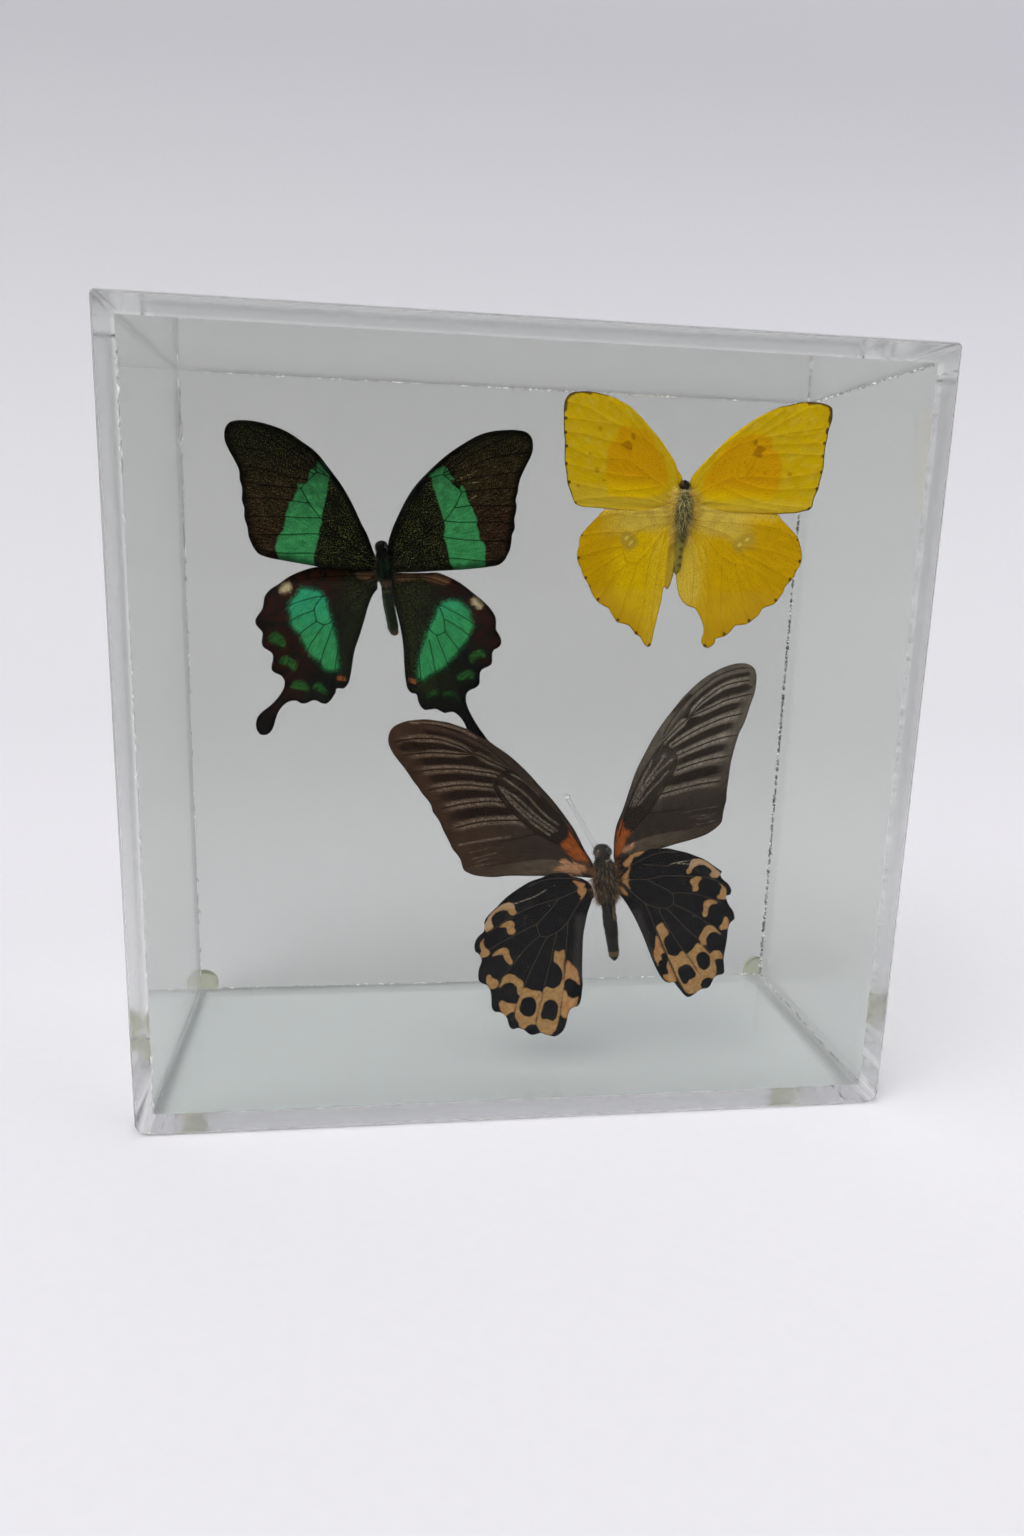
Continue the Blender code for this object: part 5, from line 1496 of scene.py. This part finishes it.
def paintYellowHindwing(side):
    paint = wingPaint("yellowHindwingScales", side, yellowColours)
    place = paint.apart(paint.plane())
    paint.colour = paint.mix(paint.step(paint.ragged("shade", 1.6, 0.4), -3.5, 2.5), "gold", "amber")
    # the right hindwing is deepened to amber and its rays drawn stronger: partly the wing's own colour,
    # partly painted shade of its folds and pleats
    if side == "right":
        paint.over(0.75, "amber")
    blotches = paint.step(paint.noise(0.35, 4.0, 0.6), 0.5, 0.7) * 0.35
    paint.over(blotches, "orange")
    rays = paint.step(paint.strands(40.0, 0.12, 3.0, 0.6), 0.3, 0.7)
    paint.over(rays * (0.16 if side == "left" else 0.30), "vein")
    beige = paint.step(paint.ragged("beige", 1.0, 0.5), -1.2, 1.4)
    paint.over(beige, "beige", 0.6)
    folds = paint.step(paint.strands(64.0, 0.1, 2.0, 0.6), 0.42, 0.6)
    folds = folds * paint.step(place["X"], 10.5, 6.0)
    paint.over(folds, "fold", 0.6)
    leading = place["Y"] + place["X"] * 0.19
    leading = leading + (paint.noise(0.35, 4.0, 0.65) - 0.5) * 5.0
    leading = paint.step(leading, -6.2, -1.8)
    leading = leading * paint.step(place["X"], 27.0 if side == "left" else 23.0, 14.0)
    paint.over(leading, "beige", 0.85)
    bruised = leading * paint.step(paint.noise(0.30, 3.0, 0.5), 0.44, 0.66)
    paint.over(bruised, "mauve", 0.6)
    paint.over(paint.mark("fold", 0.3, 0.3), "tan")
    paint.over(paint.vein(0.10), "vein", 0.45)
    paint.over(freckled(paint, 2.1, 0.57, 0.63), "brown", 0.5)
    paint.over(paint.mark("brown", 0.9, 1.3, 0.8), "olive", 0.3)
    smudge = paint.step(paint.ragged("ringed", 0.8, 0.8), -1.9, -0.6)
    paint.over(smudge, "olive", 0.65)
    paint.over(paint.step("ringed", -0.04, 0.08), "ring")
    paint.over(paint.step("ringed", 0.13, 0.20), "ringed")
    paint.over(paint.step("dots", -0.32, 0.0), "dark", 0.9)
    edge = paint.step(paint.read("rimAway") + paint.noise(1.2) * -0.5, 0.12, -0.14)
    paint.over(edge, "brown", 0.5)
    return finishWing(paint, 0.06, 0.66)


def paintBlackForewing(side):
    paint = wingPaint("blackForewingScales", side, blackColours)
    place = paint.apart(paint.plane())
    out = place["X"]
    if side == "left":
        rusty = paint.step(out, 4.0, 52.0)
        ground = paint.mix(rusty, "ground", "rustGround")
        stripe = paint.mix(rusty, "stripe", "rustStripe")
        streak = paint.mix(rusty, "streak", "rustStreak")
    else:
        high = paint.step(place["Y"], 14.0, 38.0)
        ground = paint.mix(high, "ground", "greyGround")
        stripe = paint.mix(high * 0.8, "stripe", "ground")
        streak = paint.mix(high, "streak", "greyStreak")
    grains = paint.step(paint.noise(1.8, 3.0, 0.8), 0.42, 0.58)
    rays = paint.step(paint.strands(70.0, 0.25, 3.0, 0.7), 0.32, 0.62)
    strewn = grains * 0.7 + (rays * 0.25 + 0.05)
    nearMargin = paint.step("rimAway", 8.0, 2.0)
    wander = (paint.noise(0.9, 3.0) - 0.5) * 0.10
    share = paint.read("share") + wander + nearMargin * -0.08
    fade = paint.step("rimAway", 1.2, 6.4 if side == "left" else 4.4)
    ruled = paint.mark("striped", 1.8, 0.6, 0.8) * fade
    beside = paint.step("veinAway", 0.12, 0.36) * paint.step(share, 0.35, 0.13)
    beside = beside * paint.step("veinAway", 1.7, 0.7)
    paint.colour = paint.mix(ruled * paint.step(share, 0.22, 0.33), ground, stripe)
    paint.over(ruled * beside * strewn, streak)
    paint.over(paint.mark("cell", 0.5, 0.4), stripe, 0.7)
    lines = paint.step(paint.read("streakAway") + paint.noise(1.4) * 0.4, 0.74, 0.22)
    worn = paint.step(out + paint.noise(0.5) * 4.0, 8.0, 16.0)
    paint.over(lines * strewn * worn, streak)
    darker = paint.step("darkAway", 0.85, 0.20)
    paint.over(darker, stripe, 0.9)
    paint.over(paint.mark("wedge", 0.35), stripe, 0.85)
    rear = paint.step(paint.ragged("rearStrip", 0.3, 0.9), -0.2, 0.3)
    rearLight = rear * (paint.step(out, 36.0, 8.0) * 0.75 + 0.2)
    paint.over(rearLight, "rear")
    scuff = paint.step("scribbleAway", 0.4, 0.05) * paint.step(paint.noise(1.8, 3.0), 0.44, 0.6)
    paint.over(scuff, streak, 0.6)
    strands = paint.step(paint.strands(30.0, 0.4, 4.0, 0.75), 0.36, 0.64)
    orange = paint.mix(strands, paint.mix(0.45, "orange", "stripe"), "orange")
    paint.over(frayed(paint, "baseOrange", 0.7), orange)
    pinkish = paint.mix(strands, paint.mix(0.5, "salmon", "orange"), "salmon")
    paint.over(frayed(paint, "salmon", 0.8), pinkish, 0.85)
    paint.over(paint.vein(0.18), stripe, 0.9)
    edge = paint.step("rimAway", 0.5, 0.1)
    paint.over(edge, stripe, 0.6)
    return finishWing(paint, 0.26, 0.66)


def paintBlackHindwing(side):
    paint = wingPaint("blackHindwingScales", side, blackColours)
    brownish = paint.step(paint.noise(0.4, 3.0, 0.6), 0.45, 0.70)
    paint.colour = paint.mix(brownish * 0.35, "velvet", "ground")
    paint.over(paint.mark("innerStrip", 0.9, 0.8, 0.9), "inner", 0.9)
    thread = paint.step("veinAway", 0.20, 0.05)
    paint.over(thread, "vein", 0.7)
    warm = paint.mix(paint.step(paint.noise(0.9, 4.0, 0.6), 0.35, 0.7), "peachDeep", "peach")
    warm = paint.mix(paint.mark("pink", 0.6, 0.5) * 0.8, warm, "pink")
    paint.over(paint.mark("peach", 0.22, 0.34, 1.6), warm)
    strands = paint.step(paint.strands(30.0, 0.4, 4.0, 0.7), 0.34, 0.66)
    orange = paint.mix(strands, "cellOrange", "peach")
    paint.over(paint.mark("orange", 0.35, 0.4, 1.2), orange)
    paint.over(paint.mark("ovals", 0.22, 0.3, 1.4), "velvet")
    streak = paint.step(paint.read("streakAway") + paint.noise(2.0) * 0.3, 0.40, 0.16)
    paint.over(streak, "white", 0.75)
    scuff = paint.step("scribbleAway", 0.26, 0.08)
    paint.over(scuff, "vein", 0.5)
    paint.over(paint.mark("dust", 0.12, 0.1, 3.0), "dust", 0.8)
    return finishWing(paint, 0.12, 0.7)


# Bodies: a lofted body with eyes, and hair rooted in its skin

hairShape = {
    "root": 0.040,            # mm, half the root's width
    "tuftRoot": 0.026,
    "bend": 0.30,
    "depth": -0.05,           # roots stand this far from the skin
}
bodyShape = {
    "sides": 32,
    "deep": 1.15,             # a body's depth as a share of its width
    "segmentDip": 0.07,
    "lumps": (0.03, 0.02),    # shares of the radius
}


def profileAt(butterfly, along):
    if "profile" not in butterfly:
        line = smoothLine(butterfly["body"], 0.3)
        butterfly["profile"] = line[np.argsort(line[:, 0])]
    line = butterfly["profile"]
    return float(np.interp(along, line[:, 0], np.maximum(line[:, 1], 0.0)))


def bodyBend(butterfly, along):
    # the abdomen's own bend, sideways
    below = max(0.0, -along - 5.0)
    return butterfly["bend"] * below**2 / 100.0


def bodyPoint(butterfly, along, turn, lift=0.0):
    # a place on the skin: turn 0 faces the viewer, 90 the viewer's right
    radius = profileAt(butterfly, along) + lift
    if along < butterfly["waist"]:
        phase = (butterfly["waist"] - along) / butterfly["segment"]
        radius *= 1.0 - bodyShape["segmentDip"] * abs(math.cos(math.pi * phase)) ** 6
    broad, small = bodyShape["lumps"]
    radius *= 1.0 + broad * math.sin(3 * turn + along) + small * math.sin(7 * turn - 2 * along)
    x = bodyBend(butterfly, along) + radius * math.sin(turn)
    return Vector((x, -bodyShape["deep"] * radius * math.cos(turn), along))


class Fleece:
    # gathers a body's skin, eyes and hairs in one mesh, with what its material reads
    def __init__(self, butterfly):
        self.butterfly = butterfly
        self.vertices = []
        self.faces = []
        self.slots = []
        self.notes = []            # along, side, strand, tip and kind at each vertex

    def add(self, points, faces, notes, slot=0):
        first = len(self.vertices)
        self.vertices += points
        self.notes += notes
        self.faces += [tuple(first + index for index in face) for face in faces]
        self.slots += [slot] * len(faces)

    def skin(self):
        top = self.butterfly["body"][0][0]
        tip = self.butterfly["body"][-1][0]
        sides = bodyShape["sides"]
        stations = np.concatenate([top - 0.12 * np.arange(1, 8), np.arange(top - 1.1, tip + 0.5, -0.3),
                                   tip + 0.1 * np.arange(4, 0, -1)])
        points = [bodyPoint(self.butterfly, along, 2 * math.pi * index / sides)
                  for along in stations for index in range(sides)]
        notes = [(along, math.sin(2 * math.pi * index / sides), 0.0, 0.0, 0.0)
                 for along in stations for index in range(sides)]
        faces = bandFaces(len(stations), sides, -1)
        for level, along, order in ((0, top, 1), (len(stations) - 1, tip, -1)):
            faces += fanFaces(len(points), level * sides, sides, order)
            points.append(Vector((bodyBend(self.butterfly, along), 0.0, along)))
            notes.append((along, 0.0, 0.0, 0.0, 0.0))
        self.add(points, faces, notes)

    def ball(self, middle, size, slot, kind):
        # a smooth oval, half sunk in the head
        rings, sides = 12, 20
        points = []
        for ring in range(rings + 1):
            lean = math.pi * ring / rings
            for index in range(sides):
                turn = 2 * math.pi * index / sides
                spread = max(math.sin(lean), 0.01)
                across, up = size[0] * spread * math.cos(turn), size[2] * spread * math.sin(turn)
                points.append(middle + Vector((across, -size[1] * math.cos(lean), up)))
        faces = bandFaces(rings + 1, sides)
        faces.append(tuple(reversed(range(sides))))
        faces.append(tuple(range(rings * sides, (rings + 1) * sides)))
        notes = [(point.z, kind, 0.0, 0.0, 2.0) for point in points]
        self.add(points, faces, notes, slot)

    def hair(self, root, heading, length, kind, droop):
        side = heading.orthogonal().normalized()
        other = heading.cross(side)
        width = hairShape["tuftRoot" if kind == 1.0 else "root"] * chance.uniform(0.7, 1.5)
        sag = Vector(droop) * hairShape["bend"] * length
        strand = chance.random()
        across = max(-1.0, min(1.0, root.x / 2.5))
        points, notes = [], []
        for share, thick in ((-0.12, 1.0), (0.5, 0.75)):
            middle = root + heading * length * share + sag * max(share, 0.0) ** 2
            for index in range(3):
                turn = 2 * math.pi * index / 3
                points.append(middle + (side * math.cos(turn) + other * math.sin(turn)) * width * thick)
                notes.append((root.z, across, strand, max(share, 0.0), kind))
        points.append(root + heading * length + sag)
        notes.append((root.z, across, strand, 1.0, kind))
        faces = [(2, 1, 0)]
        for index in range(3):
            following = (index + 1) % 3
            faces += [(index, following, following + 3, index + 3), (index + 3, following + 3, 6)]
        self.add(points, faces, notes)

    def coat(self, patch):
        # hair over a stretch of the body, swept back along it
        low, high = patch["along"]
        for _ in range(patch["count"]):
            along = chance.uniform(low, high)
            turn = chance.uniform(-math.pi, math.pi)
            root = bodyPoint(self.butterfly, along, turn, hairShape["depth"])
            outward = Vector((math.sin(turn), -bodyShape["deep"] * math.cos(turn), 0.0)).normalized()
            wild = Vector([chance.gauss(0.0, patch["wild"]) for _ in range(3)])
            heading = (outward * patch["stand"] + Vector((0, 0, -patch["sweep"])) + wild).normalized()
            length = chance.uniform(*patch["length"])
            self.hair(root, heading, length, 0.0, (0.0, 0.0, -1.0))

    def tuft(self, patch, hand):
        # long hair from the flank over the wing's base
        low, high = patch["along"]
        for _ in range(patch["count"]):
            share = chance.random()
            along = low + (high - low) * share
            radius = profileAt(self.butterfly, along)
            middle = bodyBend(self.butterfly, along)
            depth = -patch["front"] * chance.uniform(0.3, 1.0)
            root = Vector((middle + hand * radius * chance.uniform(0.5, 0.9), depth, along))
            rise = patch["rise"][0] + (patch["rise"][1] - patch["rise"][0]) * share
            toBack = chance.gauss(-0.05, 0.12)
            heading = Vector((hand, toBack, rise + chance.gauss(0.0, patch["wild"]))).normalized()
            length = chance.uniform(*patch["length"])
            self.hair(root, heading, length, 1.0, (0.0, 0.25, chance.uniform(-0.7, 0.3)))

    def build(self, name, materials):
        axes = standFrame(self.butterfly)
        places = [axes @ (point * mm) for point in self.vertices]
        piece = meshObject(name, places, self.faces, materials[0])
        for material in materials[1:]:
            piece.data.materials.append(material)
        for polygon, slot in zip(piece.data.polygons, self.slots):
            polygon.material_index = slot
        notes = np.array(self.notes)
        for index, label in enumerate(("along", "side", "strand", "tip", "kind")):
            keep(piece.data, label, notes[:, index])
        return piece


def buildBody(species, paintSkin):
    butterfly = butterflies[species]
    fleece = Fleece(butterfly)
    fleece.skin()
    for number, eye in enumerate(butterfly["eyes"]):
        fleece.ball(Vector(eye["at"]), eye["size"], 1, float(number))
    for patch in butterfly["coats"]:
        fleece.coat(patch)
    for patch in butterfly["tufts"]:
        for hand in patch["hands"]:
            fleece.tuft(patch, hand)
    body = fleece.build(species + "_hairy_body", [paintSkin(), paintEye(species)])
    addPiece(body, species + "_body", species + "_body")


# What each body's hair and skin look like through the case
bodyColours = {
    "green": {
        "thorax": (12, 17, 11), "abdomen": (17, 23, 14), "stripe": (28, 48, 30), "waist": (60, 47, 34),
        "band": (60, 56, 36), "flank": (44, 60, 46), "tip": (58, 46, 34), "head": (10, 10, 10),
        "tuft": (50, 46, 32), "eye": (20, 18, 18), "eyeGlint": (44, 34, 26),
    },
    "yellow": {
        "thorax": (86, 82, 56), "abdomen": (120, 110, 50), "wisp": (188, 177, 130), "edge": (158, 146, 74),
        "dot": (52, 50, 34), "head": (38, 32, 24), "collar": (150, 138, 96), "tuft": (170, 146, 66),
        "tuftPale": (194, 174, 96), "eye": (44, 22, 20), "eyeGlint": (60, 28, 24),
    },
    "black": {
        "thorax": (44, 40, 35), "abdomen": (33, 32, 31), "streak": (88, 76, 60), "wisp": (112, 98, 78),
        "flank": (96, 78, 56), "tip": (88, 72, 52), "head": (44, 42, 40), "collar": (120, 112, 96),
        "tuft": (50, 40, 32), "tuftPale": (118, 78, 48), "eye": (18, 16, 16), "eyeGlint": (66, 46, 34),
    },
}
hairShades = ((0.62, 0.62, 0.62), (1.5, 1.46, 1.4))     # the darkest and the palest hair
hairTip = (1.35, 1.3, 1.25)


def bodyPaint(species, roughness):
    return Paint(species + "BodyHair", bodyColours[species], Roughness=roughness, Specular_IOR_Level=0.15)


def paintEye(species):
    paint = Paint(species + "Eye", bodyColours[species], Roughness=0.16, Specular_IOR_Level=0.6,
                  Coat_Weight=0.3)
    mottle = paint.noise(1800.0, 3.0, where=paint.place())
    second = paint.mix(mottle, "eyeGlint", "eye")
    side = paint.read("side")
    paint.give("Base Color", paint.mix(side, paint.mix(mottle, "eye", grey(0.0)), second))
    paint.bump(mottle, 0.00004, 0.3)
    return paint.material


def finishBody(paint):
    # each hair has its own shade and is lighter at its tip
    shade = paint.mix(paint.read("strand"), *hairShades)
    isHair = paint.step("tip", 0.0, 0.12)
    colour = paint.mix(isHair, paint.colour, paint.multiply(paint.colour, shade))
    lighter = paint.multiply(colour, hairTip)
    colour = paint.mix(paint.read("tip"), colour, lighter)
    fine = paint.noise(2200.0, 4.0, 0.7, where=paint.place())
    spread = paint.mix(paint.step(fine, 0.3, 0.7), grey(0.7), grey(1.3))
    paint.give("Base Color", paint.multiply(colour, spread))
    paint.bump(fine, 0.00008, 0.6)
    return paint.material


def paintGreenBody():
    paint = bodyPaint("green", 0.6)
    along = paint.read("along")
    side = paint.reckon("ABSOLUTE", paint.read("side"))
    paint.colour = paint.mix(paint.step(along, -7.0, -9.0), "thorax", "abdomen")
    stripes = paint.between(side, 0.25, 0.52, 0.14) * paint.between(along, -4.6, 0.6, 0.6)
    paint.over(stripes, "stripe", 0.6)
    paint.over(paint.between(along, -7.4, -5.2, 0.5), "waist", 0.85)
    paint.over(paint.between(along, -8.9, -8.1, 0.3), "band", 0.6)
    flank = paint.step("side", -0.45, -0.8) * paint.step(along, -8.5, -9.5)
    paint.over(flank, "flank", 0.6)
    paint.over(paint.step(along, -18.6, -20.2), "tip", 0.7)
    paint.over(paint.step(along, 0.6, 1.4), "head")
    paint.over(paint.step("kind", 0.4, 0.6), "tuft", 0.9)
    return finishBody(paint)


def paintYellowBody():
    paint = bodyPaint("yellow", 0.7)
    along = paint.read("along")
    side = paint.read("side")
    strand = paint.read("strand")
    paint.colour = paint.mix(paint.step(along, -6.0, -9.0), "thorax", "abdomen")
    paint.over(paint.step(strand, 0.56, 0.70) * paint.between(along, -5.0, 4.6, 0.6), "wisp")
    paint.over(paint.step(side, 0.45, 0.75) * paint.step(along, -5.0, -7.0), "edge", 0.85)
    phase = paint.reckon("SINE", along * (2 * math.pi / 2.2))
    dots = paint.step(phase, 0.15, 0.6) * paint.between(side, -0.15, 0.6, 0.1)
    dots = dots * paint.step(along, -5.5, -6.5)
    paint.over(dots, "dot", 0.8)
    paint.over(paint.step(along, 5.4, 5.8), "head")
    paint.over(paint.between(along, 4.9, 5.4, 0.15), "collar")
    soft = paint.mix(strand, "tuft", "tuftPale")
    paint.over(paint.step("kind", 0.4, 0.6), soft)
    return finishBody(paint)


def paintBlackBody():
    paint = bodyPaint("black", 0.65)
    along = paint.read("along")
    side = paint.read("side")
    strand = paint.read("strand")
    paint.colour = paint.mix(paint.step(along, -5.0, -8.0), "thorax", "abdomen")
    diagonal = along * 1.2 + side * 2.4
    streak = paint.reckon("SINE", diagonal)
    streaked = paint.step(streak, 0.35, 0.85) * paint.between(along, -4.5, 5.0, 0.6)
    paint.over(streaked, "streak", 0.3)
    paint.over(paint.step(strand, 0.70, 0.84) * paint.between(along, -5.5, 6.0, 0.6), "wisp")
    right = paint.between(along, -11.5, -7.6, 0.4) * paint.between(side, 0.35, 0.7, 0.12)
    paint.over(right, "flank", 0.8)
    paint.over(paint.between(along, -22.8, -21.2, 0.3), "tip", 0.7)
    paint.over(paint.step(along, 6.6, 7.0), "head")
    paint.over(paint.between(along, 6.2, 6.6, 0.12) * paint.between(side, 0.1, 0.9, 0.1), "collar")
    paint.over(paint.step("kind", 0.4, 0.6), paint.mix(strand, "tuft", "tuftPale"), 0.85)
    return finishBody(paint)


# Where each butterfly is set: the thorax in mm, the head's lean to +X and the wings' raise in degrees.
# Coats of hair lie over a stretch of the body; tufts stand from its left (-1) or right (1) flank.

butterflies = {
    "green": {
        "thorax": (-37.8, 1.5, 146.6),
        "lean": -6.9,
        "raised": {"left": 4.0, "right": 4.0},
        "frontPair": "forewing",
        "body": [(5.4, 0.0), (5.1, 1.05), (4.2, 1.7), (2.8, 1.75), (1.2, 1.5), (0.2, 1.75), (-1.5, 2.0),
                 (-4.8, 1.9), (-6.5, 1.4), (-9.5, 1.55), (-15.0, 1.5), (-19.0, 1.4), (-20.6, 0.9),
                 (-21.0, 0.0)],
        "waist": -6.5,
        "segment": 2.1,
        "bend": 0.35,
        "rodFrom": (0.0, -1.0),
        "rodFoot": (0.0, -1.0),
        "eyes": [{"at": (0.55, -1.0, 3.6), "size": (0.95, 0.8, 1.3)},
                 {"at": (-0.75, -0.8, 3.5), "size": (0.75, 0.75, 1.1)}],
        "coats": [{"along": (-5.0, 2.2), "count": 1500, "length": (0.5, 1.2),
                   "stand": 0.55, "sweep": 0.8, "wild": 0.22},
                  {"along": (-19.5, -5.0), "count": 1100, "length": (0.3, 0.6),
                   "stand": 0.3, "sweep": 0.95, "wild": 0.12},
                  {"along": (0.8, 5.0), "count": 260, "length": (0.3, 0.6),
                   "stand": 0.9, "sweep": -0.1, "wild": 0.3}],
        "tufts": [{"hands": (-1, 1), "along": (-5.0, 1.0), "count": 200, "length": (1.2, 3.2),
                   "rise": (-0.9, 0.5), "front": 1.3, "wild": 0.3}],
    },
    "yellow": {
        "thorax": (44.5, -5.5, 162.7),
        "lean": 2.1,
        "raised": {"left": 9.0, "right": 3.0},
        "frontPair": "hindwing",
        "body": [(8.2, 0.0), (7.8, 0.9), (6.8, 1.4), (5.6, 1.2), (4.0, 1.9), (1.0, 2.35), (-3.0, 2.2),
                 (-6.0, 1.7), (-10.0, 1.5), (-14.0, 1.25), (-16.8, 0.8), (-17.8, 0.0)],
        "waist": -6.0,
        "segment": 2.0,
        "bend": 0.0,
        "rodFrom": (0.0, 0.0),
        "rodFoot": (0.0, 0.0),
        "eyes": [{"at": (0.75, -0.75, 6.7), "size": (0.7, 0.65, 0.8)},
                 {"at": (-0.75, -0.75, 6.7), "size": (0.7, 0.65, 0.8)}],
        "coats": [{"along": (-6.5, 5.0), "count": 2600, "length": (1.0, 2.6),
                   "stand": 0.42, "sweep": 0.8, "wild": 0.55},
                  {"along": (-16.5, -6.0), "count": 1000, "length": (0.3, 0.8),
                   "stand": 0.3, "sweep": 0.95, "wild": 0.12},
                  {"along": (5.0, 7.8), "count": 260, "length": (0.4, 0.9),
                   "stand": 0.9, "sweep": -0.2, "wild": 0.3}],
        "tufts": [{"hands": (-1,), "along": (-8.0, 5.0), "count": 900, "length": (1.2, 4.0),
                   "rise": (-1.1, 0.5), "front": 1.8, "wild": 0.25},
                  {"hands": (1,), "along": (-8.0, 5.0), "count": 900, "length": (1.2, 3.8),
                   "rise": (-1.1, 0.5), "front": 1.8, "wild": 0.25}],
    },
    "black": {
        "thorax": (24.4, -20.5, 60.2),
        "lean": -9.2,
        "raised": {"left": -4.0, "right": -4.0},
        "frontPair": "hindwing",
        "body": [(10.8, 0.0), (10.3, 1.5), (8.6, 2.4), (6.6, 2.0), (5.2, 2.6), (1.0, 3.0), (-3.5, 2.7),
                 (-7.0, 2.0), (-13.0, 2.0), (-19.0, 1.6), (-23.5, 1.1), (-24.8, 0.0)],
        "waist": -7.0,
        "segment": 2.5,
        "bend": 0.0,
        "rodFrom": (0.6, 4.8),
        "rodFoot": (1.2, 9.6),
        "eyes": [{"at": (1.35, -1.5, 8.7), "size": (1.25, 1.1, 1.35)},
                 {"at": (-1.35, -1.5, 8.7), "size": (1.2, 1.1, 1.3)}],
        "coats": [{"along": (-6.0, 6.4), "count": 2600, "length": (0.8, 2.2),
                   "stand": 0.45, "sweep": 0.85, "wild": 0.34},
                  {"along": (-23.5, -5.5), "count": 1400, "length": (0.3, 0.7),
                   "stand": 0.3, "sweep": 0.95, "wild": 0.12},
                  {"along": (6.6, 10.4), "count": 420, "length": (0.3, 0.8),
                   "stand": 0.9, "sweep": -0.2, "wild": 0.3}],
        "tufts": [{"hands": (-1, 1), "along": (-5.0, 4.5), "count": 420, "length": (1.6, 4.0),
                   "rise": (-0.9, 0.6), "front": 1.5, "wild": 0.3}],
    },
}


buildRoom()
lightRoom()
placeCamera()
setLook()
print("room, light and camera are set")

buildCase()
buildFeet()
rodClear = clearAcrylic("clearRod", "rod", 0.02)
for species, butterfly in butterflies.items():
    buildRod(species, butterfly, rodClear)
print("case, rods and feet are built")

wings = {
    ("green", "forewing"): (paintGreenForewing, "green_wing", greenForewingLeft, greenForewingRight),
    ("green", "hindwing"): (paintGreenHindwing, "green_wing", greenHindwingLeft, greenHindwingRight),
    ("yellow", "forewing"): (paintYellowForewing, "yellow_wing", yellowForewingLeft, yellowForewingRight),
    ("yellow", "hindwing"): (paintYellowHindwing, "yellow_wing", yellowHindwingLeft, yellowHindwingRight),
    ("black", "forewing"): (paintBlackForewing, "black_forewing", blackForewingLeft, blackForewingRight),
    ("black", "hindwing"): (paintBlackHindwing, "black_hindwing", blackHindwingLeft, blackHindwingRight),
}
for (species, pair), (paintScales, slot, left, right) in wings.items():
    buildWing(species, pair, "left", left, paintScales("left"), slot)
    buildWing(species, pair, "right", right, paintScales("right"), slot)
    print(species, pair, "wings are built")

buildBody("green", paintGreenBody)
buildBody("yellow", paintYellowBody)
buildBody("black", paintBlackBody)
print("bodies are built")
